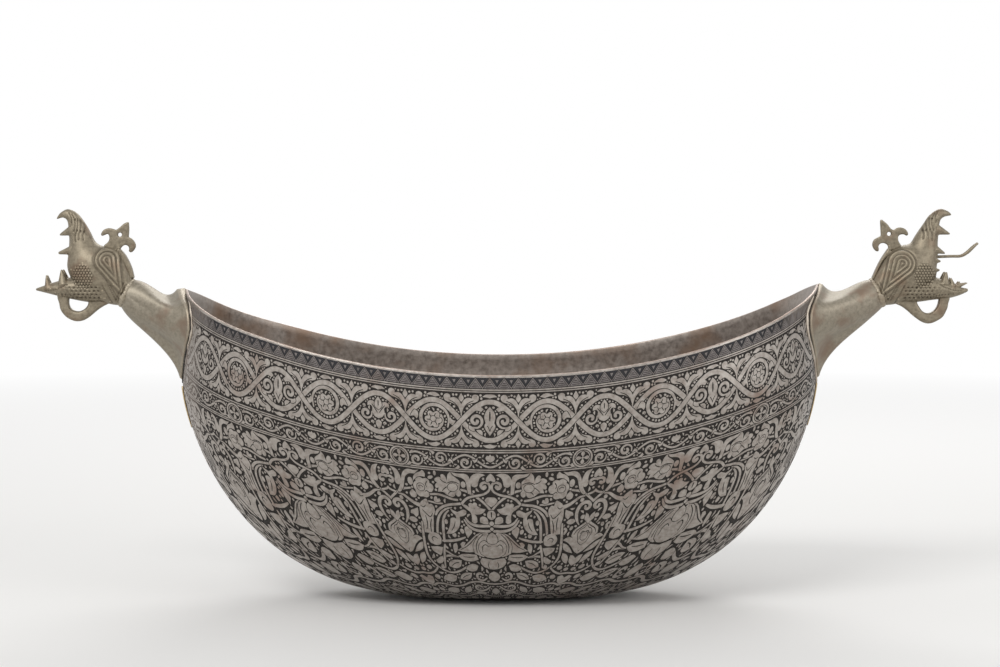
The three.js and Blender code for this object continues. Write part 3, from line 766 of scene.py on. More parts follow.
# %% The measures of the two heads, in mm out from the bowl's middle and up
HEADS = {
    "right": {
        "crown": [(240.2, 206.6), (243.4, 212.8), (247.4, 219.8), (252.6, 226), (259, 228.8), (264.6, 230.2),
                  (268.4, 236), (272.8, 242.4), (277.2, 248.6), (283.4, 252.5), (288.8, 251.2), (291.3, 249)],
        "mouth": [(248, 189.9), (255.4, 190.8), (266, 194), (275.6, 200.5), (281.4, 208.2), (282, 214.6),
                  (282.6, 221.4), (282.6, 230.6), (283.2, 239), (284, 244.8), (286.6, 247.3), (291, 248.2)],
        "jaw_crown": [(262, 205.6), (272, 207.6), (281, 208.2), (288.4, 205.6), (295, 202.4), (302.4, 200.9)],
        "jaw_mouth": [(256, 192.8), (267, 191.9), (280, 193.5), (290.6, 194.7), (297.6, 196.7),
                      (302.4, 198.9)],
        # Each tooth: root and tip in the upright plane, how far it stands from that plane, and two radii
        "teeth": [(280.4, 239.4, 290.2, 236.2, 2.8, 3.9, 0.5), (280.6, 226.2, 287, 223.6, 3.8, 2.7, 0.5),
                  (281, 218.8, 284.2, 218.6, 4.4, 1.7, 0.5), (280.2, 212.8, 283.6, 213, 4.6, 1.7, 0.5),
                  (286.4, 203.4, 287.8, 211.8, 4.2, 3.5, 0.7), (292.4, 202, 290.8, 208.2, 3.4, 2, 0.4),
                  (294.4, 202.2, 302, 204.6, 2.2, 1.8, 0.4), (295.4, 202, 296.6, 205.8, 3, 1.4, 0.4)],
        "ear": (258, 217.2, 245.6, 198.6, 8.4),
        "marks_moved": (-1.6, 0),
    },
    "left": {
        "crown": [(239.5, 206.4), (242, 213.6), (246, 221.4), (252, 227), (260, 228.8), (264, 231.8),
                  (267, 237.8), (270.8, 244.2), (275.4, 249.8), (281.2, 252.4), (286.2, 250), (288.8, 246.4)],
        "mouth": [(247.5, 189.8), (255, 190.8), (266, 194), (275, 200.5), (280, 208.4), (282, 215),
                  (281.4, 222.5), (280.6, 231.5), (281, 239.5), (281.8, 244.8), (284.6, 246.8),
                  (288.2, 245.8)],
        "jaw_crown": [(262, 205.6), (272, 207.4), (280, 208), (288, 205.8), (296, 203.2), (302.6, 200.9)],
        "jaw_mouth": [(256, 192.8), (267, 191.9), (280, 194.1), (289, 196.2), (296.8, 198.2), (302.6, 199.6)],
        "teeth": [(277.6, 238.8, 286.6, 235.6, 2.8, 3.8, 0.5), (277.4, 226, 287.4, 223.8, 3.8, 3.3, 0.8),
                  (283.8, 203, 285.3, 213.4, 4.4, 4.1, 0.5), (294, 200.8, 295.4, 209.8, 2.8, 2.6, 0.4)],
        "ear": (254.8, 219.4, 245.8, 199.6, 7.7),
        "marks_moved": (-3.6, -0.9),
    },
}
SKULL_WIDTHS = [9.6, 10.8, 12, 12.6, 11.6, 9.8, 8.2, 6.4, 4.8, 3.6, 2.4, 1.0]
JAW_WIDTHS = [9, 9.4, 8.4, 6.6, 4.2, 1.3]
HEAD_VOXEL = 0.4


def closed_rows(down, rows):
    """Where each row lies along a bar, as a share, and its reach: 0 at the two ends, which close it."""
    row = np.rint(down * (rows + 2))
    return np.clip((row - 1) / rows, 0, 1), np.where((row == 0) | (row == rows + 2), 0.0, 1.0)


def swept(name, crown, mouth, widths, rows=40, columns=40):
    """Oval sections between a point on the crown side and one on the mouth side, closed at both ends."""
    width_line = [(0, w) for w in widths]

    def place(across, down):
        share, reach = closed_rows(down, rows)
        angle = across * 2 * math.pi
        high, low = curve_through(crown, share), curve_through(mouth, share)
        height = ((1 + reach * np.cos(angle)) / 2)[:, None]
        middle = low + (high - low) * height
        y = reach * curve_through(width_line, share)[:, 1] * np.sin(angle)
        return np.stack([middle[:, 0], y, middle[:, 1]], -1)

    return grid_mesh(name, columns, rows + 2, place)


def cone_mesh(root, tip, radius, tip_radius, segments=16):
    """A closed cone, or a rod, between two points, with a rounded tip."""
    root, tip = Vector(root), Vector(tip)
    lean = tip - root
    bm = bmesh.new()
    bmesh.ops.create_cone(bm, cap_ends=True, segments=segments, radius1=radius, radius2=tip_radius,
                          depth=lean.length)
    rim = [e for e in bm.edges if all(v.co.z > lean.length * 0.499 for v in e.verts)]
    bmesh.ops.bevel(bm, geom=rim, offset=tip_radius * 0.8, segments=3, profile=0.5, affect="EDGES")
    turn = lean.to_track_quat("Z", "Y").to_matrix().to_4x4()
    bmesh.ops.transform(bm, matrix=Matrix.Translation((root + tip) / 2) @ turn, verts=bm.verts)
    bmesh.ops.scale(bm, vec=(MM, MM, MM), verts=bm.verts)
    bmesh.ops.recalc_face_normals(bm, faces=bm.faces)
    return mesh_from(bm, "cone")


def head_parts(head):
    """The closed forms that melt into one head."""
    parts = [swept("skull", head["crown"], head["mouth"], SKULL_WIDTHS, 60),
             swept("jaw", head["jaw_crown"], head["jaw_mouth"], JAW_WIDTHS),
             cone_mesh(JOINT - JOINT_OUT * 12, JOINT + JOINT_OUT * 4, 5.2, 5.2, 40)]
    for side in (1, -1):
        parts += [cone_mesh((x, side * y, z), (tip_x, side * y * 0.8, tip_z), radius, tip_radius)
                  for x, z, tip_x, tip_z, y, radius, tip_radius in head["teeth"]]
    return parts


print("teeth of the right head", 2 * len(HEADS["right"]["teeth"]))

# %% Melt the parts into one skin
def melted(parts, voxel, name, passes=3):
    """One closed skin round several closed meshes, smoothed as wax is with a warm tool."""
    bm = bmesh.new()
    for part in parts:
        bm.from_mesh(part)
        bpy.data.meshes.remove(part)
    rough = bpy.data.objects.new(name, mesh_from(bm, name + "_parts"))
    bpy.context.scene.collection.objects.link(rough)
    remesh = rough.modifiers.new("melt", "REMESH")
    remesh.mode = "VOXEL"
    remesh.voxel_size = voxel * MM
    remesh.adaptivity = 0
    mesh = bpy.data.meshes.new_from_object(rough.evaluated_get(bpy.context.evaluated_depsgraph_get()))
    bpy.data.objects.remove(rough)
    mesh.name = name
    bm = bmesh.new()
    bm.from_mesh(mesh)
    for _ in range(passes):
        bmesh.ops.smooth_vert(bm, verts=bm.verts, factor=0.5, use_axis_x=True, use_axis_y=True,
                              use_axis_z=True)
    bm.to_mesh(mesh)
    bm.free()
    return mesh


# %% The chaser's punches: how far each pushes the skin out or in
EAR_TIP_RADIUS = 1.4
EAR_RIDGE_SPACING = 2.45
# From scale to scale in a row. The rows are staggered, so they can lie closer, by ROW_SHARE
SCALE_SPACING = 2.0
ROW_SHARE = 0.87
CHEEK_MIDDLE = (274.2, 209.4)
CHEEK_REACH = (7.6, 8.6)
JAW_NET_FROM = 258
JAW_NET_TO = 289
# One pit of the net, and the spacing of the pits along and up
NET_PIT = (262, 197)
NET_SPACING = (2.9, 2.3)
WRINKLES = [
    "274.3,244 273.3,241.4 273.6,238.8", "276.3,246 275.6,242.7 275.9,239.4",
    "277.9,247 277.6,243.4 278.2,239.5", "279.5,246.7 279.5,242.8 280.5,238.9",
    "273,239.4 274,236.8 273.7,233.5", "275.6,239.1 276.9,236.8 276.9,233.5",
    "278.2,239.1 279.5,236.2 279.5,232.3", "281.5,249.9 280.2,248 279.8,246.4",
    "283.4,250.9 282.1,248 282.1,244.1",
]
JAW_LINES = [
    "283.4,203.8 287,201.6 292,200 298,199.6", "268,196 276,195.4 284,196.6 292,197.4",
    "257,206.4 254.4,200 251.2,193.4", "259.6,203 257,197.4 254.4,191.8", "254.6,203 252.2,198.6 249.4,194",
]
COLLAR_LINES = ["243.9,204.6 246.6,199.4 249.6,193.6", "242.6,203.6 245.2,198.4 248,192.8"]


def distance_to_line(x, z, text):
    """How far points are from a smooth line, in mm."""
    line = curve_through(read_points(text), np.linspace(0, 1, 14))
    return np.min([np.hypot(x - px, z - pz) for px, pz in line], axis=0)


def ear_distance(x, z, ear):
    """The distance outside (+) or inside (-) a teardrop with a round end and a small tip."""
    middle_x, middle_z, tip_x, tip_z, radius = ear
    length = math.hypot(tip_x - middle_x, tip_z - middle_z)
    ahead = ((tip_x - middle_x) / length, (tip_z - middle_z) / length)
    along = (x - middle_x) * ahead[0] + (z - middle_z) * ahead[1]
    aside = np.abs((x - middle_x) * ahead[1] - (z - middle_z) * ahead[0])
    slope = (radius - EAR_TIP_RADIUS) / length
    rise = math.sqrt(1 - slope * slope)
    share = -slope * aside + rise * along
    round_end = np.hypot(along, aside) - radius
    tip_end = np.hypot(along - length, aside) - EAR_TIP_RADIUS
    flank = aside * rise + along * slope - radius
    return np.where(share < 0, round_end, np.where(share > rise * length, tip_end, flank))


def chased(mesh, head):
    """Presses ears, scales, net, wrinkles and lines into a head."""
    points = positions(mesh) / MM
    normals = np.zeros(3 * len(mesh.vertices))
    mesh.vertex_normals.foreach_get("vector", normals)
    normals = normals.reshape(-1, 3)
    x, z = points[:, 0], points[:, 2]
    side = ease(np.abs(normals[:, 1]), 0.15, 0.5)
    moved_x, moved_z = head["marks_moved"]

    # The ear: a raised lobe with four ridges that run round it and down its tail
    depth = -ear_distance(x, z, head["ear"])
    wave = np.cos(2 * math.pi * (depth - 1.0) / EAR_RIDGE_SPACING)
    in_ear = ease(depth, 0, 0.6)
    rim_cut = np.exp(-((depth + 0.9) / 0.6) ** 2)
    push = ease(depth, -0.5, 0.9) * 0.9 + 0.42 * wave * in_ear - 0.35 * rim_cut
    recess = 0.6 * ease(-wave, 0.1, 1) * in_ear + 0.5 * rim_cut
    beyond_ear = ease(-depth, 0.6, 1.6)

    # Scales on the cheek: small domes in staggered rows
    row = np.rint((z - CHEEK_MIDDLE[1]) / (SCALE_SPACING * ROW_SHARE))
    from_row = z - CHEEK_MIDDLE[1] - row * SCALE_SPACING * ROW_SHARE
    across = (x - CHEEK_MIDDLE[0]) / SCALE_SPACING + 0.5 * np.mod(row, 2)
    from_middle = np.hypot((across - np.rint(across)) * SCALE_SPACING, from_row)
    reach = np.hypot((x - CHEEK_MIDDLE[0] - moved_x) / CHEEK_REACH[0],
                     (z - CHEEK_MIDDLE[1] - moved_z) / CHEEK_REACH[1])
    in_cheek = (1 - ease(reach, 0.86, 1.02)) * beyond_ear
    push += in_cheek * (0.85 * np.sqrt(np.clip(1 - (from_middle / 0.98) ** 2, 0, 1)) - 0.3)
    recess += in_cheek * ease(from_middle, 0.6, 1.05) * 0.8

    # A net of pits on the lower jaw, deepest at the back
    low_row = np.rint((z - NET_PIT[1]) / NET_SPACING[1])
    from_row = z - NET_PIT[1] - low_row * NET_SPACING[1]
    across = (x - NET_PIT[0]) / NET_SPACING[0] + 0.5 * np.mod(low_row, 2)
    from_middle = np.hypot((across - np.rint(across)) * NET_SPACING[0], from_row * 1.25)
    in_net = ease(z, 192.6, 194) * (1 - ease(z, 202.4, 203.8)) * ease(x, JAW_NET_FROM, JAW_NET_FROM + 3)
    in_net *= (1 - ease(x, JAW_NET_TO - 16, JAW_NET_TO)) * beyond_ear * (1 - in_cheek)
    pits = in_net * np.exp(-(from_middle / 0.8) ** 2)
    push -= 0.85 * pits
    recess += pits

    # Chased lines: their depth, their width, how far they go with the head's own marks, and where
    line_sets = [(0.5, 0.5, (moved_x, moved_z), 1, WRINKLES),
                 (0.5, 0.5, (moved_x + 1.6, 0), beyond_ear, JAW_LINES),
                 (0.4, 0.45, (0, 0), 1, COLLAR_LINES)]
    for deep, wide, (shift_x, shift_z), where, texts in line_sets:
        for text in texts:
            cut = np.exp(-(distance_to_line(x - shift_x, z - shift_z, text) / wide) ** 2) * where
            push -= deep * cut
            recess += 0.7 * cut
    layer = mesh.attributes.new("recess", "FLOAT", "POINT")
    layer.data.foreach_set("value", np.clip(recess * side, 0, 1).astype(np.float32))
    set_positions(mesh, (points + normals * (push * side)[:, None]) * MM)
    return mesh


head_meshes = {name: chased(melted(head_parts(head), HEAD_VOXEL, f"head_{name}_cast", 4), head)
               for name, head in HEADS.items()}
print("head faces", [len(mesh.polygons) for mesh in head_meshes.values()])

# %% [markdown]
# ## Crests, chain loops and the small brass
#
# The crest and the loop are flat castings. A filled curve that is made thick and given a rounded edge
# is the quickest way to a plate with a hole, where a mesh would need the hole cut by hand. The curve
# is turned into a mesh before it is placed.

# %% A flat casting from its outline
def smooth_outline(text, fine=8):
    """Points from runs parted by bars: a run of one point is a straight line, a longer one a curve."""
    return [tuple(p) for p in form_outline(text, fine)]


def plate_mesh(name, outlines, thickness, bevel):
    """A plate in the bowl's upright middle plane. The outlines after the first are holes."""
    curve = bpy.data.curves.new(name, "CURVE")
    curve.dimensions = "2D"
    curve.fill_mode = "BOTH"
    for outline in outlines:
        spline = curve.splines.new("POLY")
        spline.points.add(len(outline) - 1)
        spline.points.foreach_set("co", [c for x, y in outline for c in (x * MM, y * MM, 0, 1)])
        spline.use_cyclic_u = True
    curve.extrude = (thickness / 2 - bevel) * MM
    curve.bevel_depth = bevel * MM
    curve.bevel_resolution = 3
    curve.offset = -bevel * MM
    flat = bpy.data.objects.new(name, curve)
    bpy.context.scene.collection.objects.link(flat)
    mesh = bpy.data.meshes.new_from_object(flat.evaluated_get(bpy.context.evaluated_depsgraph_get()))
    bpy.data.objects.remove(flat)
    bpy.data.curves.remove(curve)
    mesh.transform(Matrix.Rotation(math.pi / 2, 4, "X"))
    mesh.name = name
    weld(mesh, 0.01 * MM)
    return mesh


CREST_THICKNESS = 3.6
STRAP_WIDTH = 6.4
LOOP_THICKNESS = 6
# Each palmette: from the foot up the front hook, round the pointed leaf and down the back hook
CASTINGS = {
    "right": {
        "palmette": "258.6,226.6 | 258.7,229.1"
                    " | 257.4,231.1 256.8,233 257.1,235 258.7,235.9 260.7,235.9 262.3,235"
                    " | 263.3,235.9 262.9,237.6 261.3,239.5 258.7,240.5 256.1,240.2 254.2,238.9"
                    " | 252.2,239.6 249.6,242.8 246,245.7 | 245.2,244.7 245.4,240.2 245.7,235"
                    " | 243.1,233.7 241.2,232.4 240.2,229.8 240.8,227.2 242.5,225.2 244.1,224.9"
                    " | 244.4,226.5 244.1,228.2 245.1,229.8 247,230.4 249,229.8 250.3,228.5 250.8,225.6",
        "eye": (250.9, 236.3),
        "strap": "253,224.4 | 250.4,227 | 245.8,220 242.4,213.2 239.8,207.2 | 241.4,206.8"
                 " | 243.9,212.8 247.4,219.4 253,224.4",
        "loop": "290.6,201 | 290.6,194.6 289.7,191.4 289.3,188.8 288,185.6 286,182.3 282.1,179.7"
                " 278.2,178.2 274.3,178.5 270.4,180.6 266.5,183.6 262.6,187 258.7,189.6 254,191.4"
                " | 256,198 | 270,200"
                " | 269.4,192.4 271,188.8 273,186.2 275.6,185 278.4,185.3 281.2,187.4 282.9,190.6"
                " 283.5,194 | 283.5,201",
    },
    "left": {
        "palmette": "258.4,226.6 | 258.1,228.9"
                    " | 255.6,231 254.6,233 254.7,235 255.6,236.2 257.6,235.6 259.4,234.8"
                    " | 259.9,236.4 258.3,238.8 255.6,240 252.9,239.8 250.2,238.9"
                    " | 248,240.4 245,243 242,244.2 | 241.7,239.4 242.1,234.3"
                    " | 239.8,233 237.9,230.4 237.6,227.8 239.2,225.2 240.8,224.3 242.1,225.2"
                    " | 241.8,226.8 242.5,228.4 244.4,229.1 246.3,228.1 247.7,226 248.6,223",
        "eye": (247.7, 235.8),
        "strap": "252,223 | 248.5,227.6 | 244,222.4 240.4,215 238.6,207.8 | 242.5,206.6 | 245.5,214 252,223",
        "loop": "288.8,201 | 288.6,195.3 287.5,191.4 286.7,187.5 284.7,184.2 281.5,181.4 276.9,179.6"
                " 272.4,180 268.5,182 264.6,185.2 261.3,187.8 256.8,190.4 252.9,191.6"
                " | 256,198 | 268.4,200"
                " | 268.5,193 268.9,190.2 271.1,187.6 274.3,186.2 277.6,186.6 280.1,188.4"
                " 281.1,191.4 280.9,194.6 | 280.9,201",
    },
}
print("palmette outline points", len(smooth_outline(CASTINGS["right"]["palmette"])))

# %% The crests, straps and loops
head_bronze = patinated_bronze("cast_bronze", "#908674", "#6d6454", "#7a6654", "#bbad95", (0.54, 0.72))
EYE_RADIUS = 1.35
CREST_EDGE = 0.8
STRAP_EDGES = {"right": 0.5, "left": 1.2}
LOOP_EDGE = 1.8
CREST_VOXEL = 0.32
LOOP_VOXEL = 0.38

for end, casting in CASTINGS.items():
    eye = bead_outline(*casting["eye"], EYE_RADIUS, count=24)
    palmette_outlines = [smooth_outline(casting["palmette"]), eye]
    strap_outlines = [smooth_outline(casting["strap"])]
    crest_parts = [plate_mesh("palmette", palmette_outlines, CREST_THICKNESS, CREST_EDGE),
                   plate_mesh("strap", strap_outlines, STRAP_WIDTH, STRAP_EDGES[end])]
    crest_mesh = melted(crest_parts, CREST_VOXEL, f"crest_{end}_cast", 4)
    loop_plate = plate_mesh("loop", [smooth_outline(casting["loop"])], LOOP_THICKNESS, LOOP_EDGE)
    loop_mesh = melted([loop_plate], LOOP_VOXEL, f"chain_loop_{end}_cast", 5)
    for name, mesh in (("head", head_meshes[end]), ("crest", crest_mesh), ("chain_loop", loop_mesh)):
        keep(at_end(mesh, end), f"{name}_cast_{end}", [f"{name}_{end}"], [head_bronze])

# %% [markdown]
# ## Solder, and the seams of the flanges
#
# Each head's tenon was soldered into its neck, and each flange onto its prow. The solder set in lumps
# and drips, and round the flanges a thin run of it lies beside a gap, whose shadow is painted as a black
# bar. A torus with a noise texture would be the quick way, but it is even all round. Each run here is a
# bar whose thickness is worked out along its way, from a few waves.

# %% Solder round the two joints
solder = patinated_bronze("corroded_solder", "#a79d8c", "#867d6b", "#8b7a66", "#c2b7a2", (0.45, 0.7))


def solder_points(across, down):
    """A lumpy ring that closes the seam between neck and head."""
    around, about = across * 2 * math.pi, down * 2 * math.pi
    lumps = 0.14 * np.sin(7 * around + 1.3) + 0.1 * np.sin(17 * around)
    lumps = lumps + 0.07 * np.sin(29 * around + 2 * about)
    drips = np.exp(-((around - 2.1) / 0.3) ** 2) + np.exp(-((around - 4.2) / 0.36) ** 2)
    thick = 0.85 + lumps + 0.7 * drips
    ring = JOINT_UP * np.cos(around)[:, None] + np.array([0, 1, 0]) * np.sin(around)[:, None]
    reach = (JOINT_RADIUS - 0.25 + thick * np.cos(about))[:, None]
    return JOINT + JOINT_OUT * (0.1 + 1.5 * thick * np.sin(about))[:, None] + ring * reach


for end in ("right", "left"):
    solder_mesh = grid_mesh(f"solder_ring_{end}_run", 160, 20, solder_points)
    keep(at_end(solder_mesh, end), f"solder_ring_{end}", materials=[solder])

# %% The seam round each flange: a black bar that paints the shadow in the gap, and a bead of solder that ran out of it
SEAM_START = 0.24
SEAM_ROWS = 160
SEAM_SINK = 1.3
# How far out of the flange's outline, half the width, the lift, half the height, how lumpy, and how
# far down from the rim it shows before it sinks into the sheet
SEAMS = {"right": {"gap": (1.045, 1.7, 0.35, 0.35, 0.1, 1), "bead": (1.115, 0.9, 0.4, 0.8, 0.14, 1)},
         "left": {"gap": (1.035, 1.5, 0.4, 0.4, 0.2, 1), "bead": (1.075, 0.5, 0.4, 0.5, 0.4, 0.55)}}
FLANGE_MEAN_REACH = 29
# A black bar along each flange's edge paints the shadow in the gap behind it
painted_gap_shadow = blackened("painted_shadow_in_the_gap_behind_the_flange", "#0c0a08", [])
run_solder = patinated_bronze("solder_run_out_of_the_seam", "#cdc2b4", "#b0a393", "#a08c7a", "#ddd5c8",
                              (0.5, 0.75))


def seam_points(end, out, half_width, lift, half_height, lumps, shown):
    """A bar along a flange's edge, from the rim on one side, round the foot, to the rim on the other."""
    def place(across, down):
        share, closing = closed_rows(down, SEAM_ROWS)
        side = np.where(share < 0.5, -1, 1)
        from_rim = 1 - np.abs(2 * share - 1)
        angle = side * math.pi * (SEAM_START + (1 - SEAM_START) * from_rim)
        swell = 1.2 - 0.4 * from_rim + lumps * (np.sin(41 * share + 1) + 0.6 * np.sin(97 * share))
        swell *= closing * ease(from_rim, -0.05, 0.1)
        about = across * 2 * math.pi
        reach = out + swell * np.cos(about) * half_width / FLANGE_MEAN_REACH
        half = curve_through(FLANGE_OUTLINES[end], np.abs(angle) / math.pi)
        height = FLANGE_MIDDLE_HEIGHT + (half[:, 1] - FLANGE_MIDDLE_HEIGHT) * reach
        out_of_sheet = lift + swell * np.sin(about) * half_height
        out_of_sheet = out_of_sheet - SEAM_SINK * ease(from_rim, shown, shown + 0.12)
        return uneven(on_prow(half[:, 0] * side * reach, height, out_of_sheet), end)

    return place


for end, runs in SEAMS.items():
    for kind, metal in (("gap", painted_gap_shadow), ("bead", run_solder)):
        seam_mesh = grid_mesh(f"flange_{kind}_{end}_run", 12, SEAM_ROWS + 2, seam_points(end, *runs[kind]))
        keep(at_end(seam_mesh, end), f"flange_{kind}_{end}", materials=[metal])

# %% [markdown]
# ## Brass strips and a wire tongue
#
# A narrow strip of brass covers the seam of each prow below the flange, its pale yellow partly a painted
# glint of grazing light, and a curled wire is the right dragon's tongue. A curve with a bevel gives a bar
# of one section, but these change theirs: the strips thin out downward and lie on the hull, and the
# tongue is beaten flat towards its tip. So both are lofted in rows, as the parts of the heads are.

# %% Rubbed brass strips on the prows, whose yellow is partly a painted glint
# The strips' pale yellow is partly the brass's own colour and partly a painted glint of light grazing the
# prow
brass_strip_and_painted_glint = patinated_bronze("rubbed_brass", "#c9b184", "#a98f60", "#9a7f5c", "#dac79d", (0.6, 0.8))
STRIP_TOP = 139.4
STRIP_FOOT = 112
STRIP_ROWS = 24


def strip_points(across, down):
    """A bar that follows the prow: across runs round its section, down along its length."""
    share, reach = closed_rows(down, STRIP_ROWS)
    angle = across * 2 * math.pi
    half_width = 3 - 1.8 * share
    thickness = 0.9 - 0.3 * share
    round_x, round_y = (np.sign(f(angle)) * np.abs(f(angle)) ** 0.6 * reach for f in (np.cos, np.sin))
    z = STRIP_TOP + (STRIP_FOOT - STRIP_TOP) * share
    return on_prow(round_y * half_width, z, SEAM + thickness * (1 + round_x) / 2)


for end in ("right", "left"):
    strip_mesh = grid_mesh(f"prow_strip_{end}_cut", 24, STRIP_ROWS + 2,
                           lambda *shares: uneven(strip_points(*shares), end))
    keep(at_end(strip_mesh, end), f"prow_strip_cut_{end}", [f"prow_strip_{end}"],
         [brass_strip_and_painted_glint])

# %% The wire tongue
TONGUE_ROWS = 60
TONGUE_ROUTE = [(278, 221.2), (286, 221.6), (292, 221.8), (297.6, 222), (301.7, 224.2), (306, 228.2),
                (308.5, 230.3)]
TONGUE_RADII = [1.0, 0.95, 0.95, 1.0, 1.15, 1.25, 1.05]


def tongue_points(across, down):
    """A round wire beaten flatter and wider towards its tip."""
    share, reach = closed_rows(down, TONGUE_ROWS)
    angle = across * 2 * math.pi
    middle = curve_through(TONGUE_ROUTE, share)
    ahead = unit(curve_through(TONGUE_ROUTE, share + 0.01) - curve_through(TONGUE_ROUTE, share - 0.01))
    radius = curve_through([(0, r) for r in TONGUE_RADII], share)[:, 1] * reach
    beaten = np.clip((share - 0.72) / 0.2, 0, 1)
    rise = radius * np.cos(angle) * (1 - 0.25 * beaten)
    y = radius * np.sin(angle) * (1 + 0.9 * beaten)
    return np.stack([middle[:, 0] - ahead[:, 1] * rise, y, middle[:, 1] + ahead[:, 0] * rise], -1)


tongue_mesh = grid_mesh("tongue_wire", 16, TONGUE_ROWS + 2, tongue_points)
keep(tongue_mesh, "tongue_wire", ["tongue_right"], [head_bronze])

# %% [markdown]
# ## Drawing the engraving flat
#
# The engraver drew half of each repeat and pounced it round the bowl, turning it over at each axis.
# The same is done here. Forms are drawn in millimetres on a flat strip that runs from the middle of
# the great lotus to the middle of the small one: across, then down from the rim. A relief of plates
# keeps crisp edges at any size, where a painted texture would blur, and it lies under half a
# millimetre high, as the raised forms between cut grounds do.

# %% Outlines from short texts
PLATE_STEP = 0.09
PLATE_FOOT = -0.3
EDGE_CUT = 0.42
# A cut's width at its start, middle and end, and how much wider every cut is made so that it shows
USUAL_CUT = (0.3, 0.5, 0.3)
CUT_GAIN = 1.35


def stem_outline(text, widths, fine=3):
    """A ribbon along a curve, whose width swells and tapers as the burin's cut does."""
    points = read_points(text) if isinstance(text, str) else text
    shares = np.linspace(0, 1, (len(points) - 1) * fine + 1)
    middle = curve_through(points, shares)
    ahead = unit(np.gradient(middle, axis=0))
    aside = np.stack([-ahead[:, 1], ahead[:, 0]], -1)
    half = np.interp(shares, np.linspace(0, 1, len(widths)), widths)[:, None] / 2
    start = middle[0] - ahead[0] * half[0] * 0.8
    end = middle[-1] + ahead[-1] * half[-1] * 0.8
    return np.concatenate([[start], middle + aside * half, [end], (middle - aside * half)[::-1]])


def signed_area(outline):
    """The area of an outline, above 0 where it runs anticlockwise."""
    x, y = outline[:, 0], outline[:, 1]
    return 0.5 * np.sum(x * np.roll(y, -1) - np.roll(x, -1) * y)


SHARPEST = 0.6


def widened(outline, amount):
    """The outline moved outward along its corners' own directions, and less at very sharp ones."""
    ahead = np.roll(outline, -1, axis=0) - outline
    ahead /= np.linalg.norm(ahead, axis=1, keepdims=True) + 1e-9
    back = np.roll(ahead, 1, axis=0)
    aside = np.stack([ahead[:, 1] + back[:, 1], -ahead[:, 0] - back[:, 0]], -1)
    length = np.linalg.norm(aside, axis=1, keepdims=True)
    aside /= np.maximum(length, SHARPEST)
    return outline + aside * amount * math.copysign(1, signed_area(outline))


def drawn(kind, *values):
    """One drawn mark as an outline: a form, a stem, a bead, a cut line or a sunk pit."""
    if kind == "form":
        return form_outline(values[0])
    if kind == "cut":
        return stem_outline(values[0], [w * CUT_GAIN for w in values[1]])
    if kind == "stem":
        return stem_outline(*values)
    return bead_outline(*values)


def read_marks(drawing):
    """Marks from a drawing with a mark to a line: its level, its kind, then its points or numbers.

    A cut's widths come after a semicolon, and are the usual ones where there are none. A line that
    starts with a blank goes on with the mark above it, and # starts a remark.
    """
    marks = []
    for line in drawing.replace("\n ", " ").splitlines():
        if not line or line.startswith("#"):
            continue
        level, kind, rest = line.split(maxsplit=2)
        route, _, widths = rest.partition(";")
        if kind == "bead":
            values = [float(number) for number in route.split()]
        elif kind == "form":
            values = [route]
        else:
            values = [route, tuple(float(width) for width in widths.split()) or USUAL_CUT]
        marks.append((int(level), kind, *values))
    return marks


def curl(x, y, reach, start, sweep, steps=7, tight=0.3):
    """Points along a spiral: it starts reach from (x, y) at start degrees and winds inward."""
    shares = np.linspace(0, 1, steps)
    angles = np.radians(start + sweep * shares)
    radii = reach * (1 - (1 - tight) * shares)
    return [(x + r * math.cos(a), y + r * math.sin(a)) for r, a in zip(radii, angles)]


print("a bead has", len(drawn("bead", 0, 0, 1)), "points")

# %% Dots and small curls in the gaps of a drawing
SPOT_SPACING = 0.45


def clearance(points, outline):
    """How far points are outside an outline; negative inside it."""
    start, end = outline, np.roll(outline, -1, axis=0)
    along = end - start
    offset = points[:, None] - start
    share = np.clip((offset * along).sum(-1) / np.maximum((along ** 2).sum(-1), 1e-9), 0, 1)
    distance = np.linalg.norm(offset - along * share[..., None], axis=-1).min(axis=1)
    x, y = points[:, :1], points[:, 1:]
    rising = (start[:, 1] > y) != (end[:, 1] > y)
    at = start[:, 0] + (y - start[:, 1]) * along[:, 0] / np.where(along[:, 1] == 0, 1e-9, along[:, 1])
    inside = (rising & (x < at)).sum(axis=1) % 2 == 1
    return np.where(inside, -distance, distance)


def fillers(marks, width, low, high, kinds, seed):
    """Fills the gaps between marks with curls, leaves or dots of a radius, a gap away from the rest."""
    chance = np.random.default_rng(seed)
    columns, rows = np.arange(1.2, width - 1.1, SPOT_SPACING), np.arange(low, high, SPOT_SPACING)
    spots = np.array([(x, y) for x in columns for y in rows])
    spots += chance.uniform(-0.15, 0.15, spots.shape)
    free = np.min([clearance(spots, drawn(*mark[1:])) for mark in marks if mark[1] != "cut"], axis=0)
    free = np.minimum(free, np.minimum(spots[:, 1] - low, high - spots[:, 1]))
    free = np.minimum(free, np.minimum(spots[:, 0], width - spots[:, 0]))
    made = []
    for kind, radius, gap in kinds:
        for k in chance.permutation(len(spots)):
            if free[k] < radius + gap:
                continue
            x, y = spots[k]
            turn = chance.uniform(0, 360)
            if kind == "curl":
                route = curl(x, y, radius * 0.86, turn, chance.choice([-1, 1]) * 330, 5, 0.25)
                made.append((0, "stem", route, (0.35, 0.75, 0.95, 0.8)))
            elif kind == "leaf":
                c, s = math.cos(math.radians(turn)) * radius, math.sin(math.radians(turn)) * radius
                route = [(x - c, y - s), (x - 0.3 * s, y + 0.3 * c), (x + c, y + s)]
                made.append((0, "stem", route, (0.25, radius * 0.95, 0.2)))
            else:
                made.append((0, "bead", x, y, radius, radius * chance.uniform(0.9, 1.25), turn, 8))
            free = np.minimum(free, np.hypot(*(spots - spots[k]).T) - radius)
    print(len(made), "fillers")
    return made


# %% From drawn marks to a flat relief of half a repeat
# In plate steps: how far a cut line stands over its plate, a plate's dark edge under it, and a hair
CUT_OVER = 0.25
EDGE_UNDER = 0.55
HAIR = 0.03
# What still counts as on a cut of the grid, in cells, and as flat, in radians
ON_A_CUT = 1e-4
FLAT = 0.005


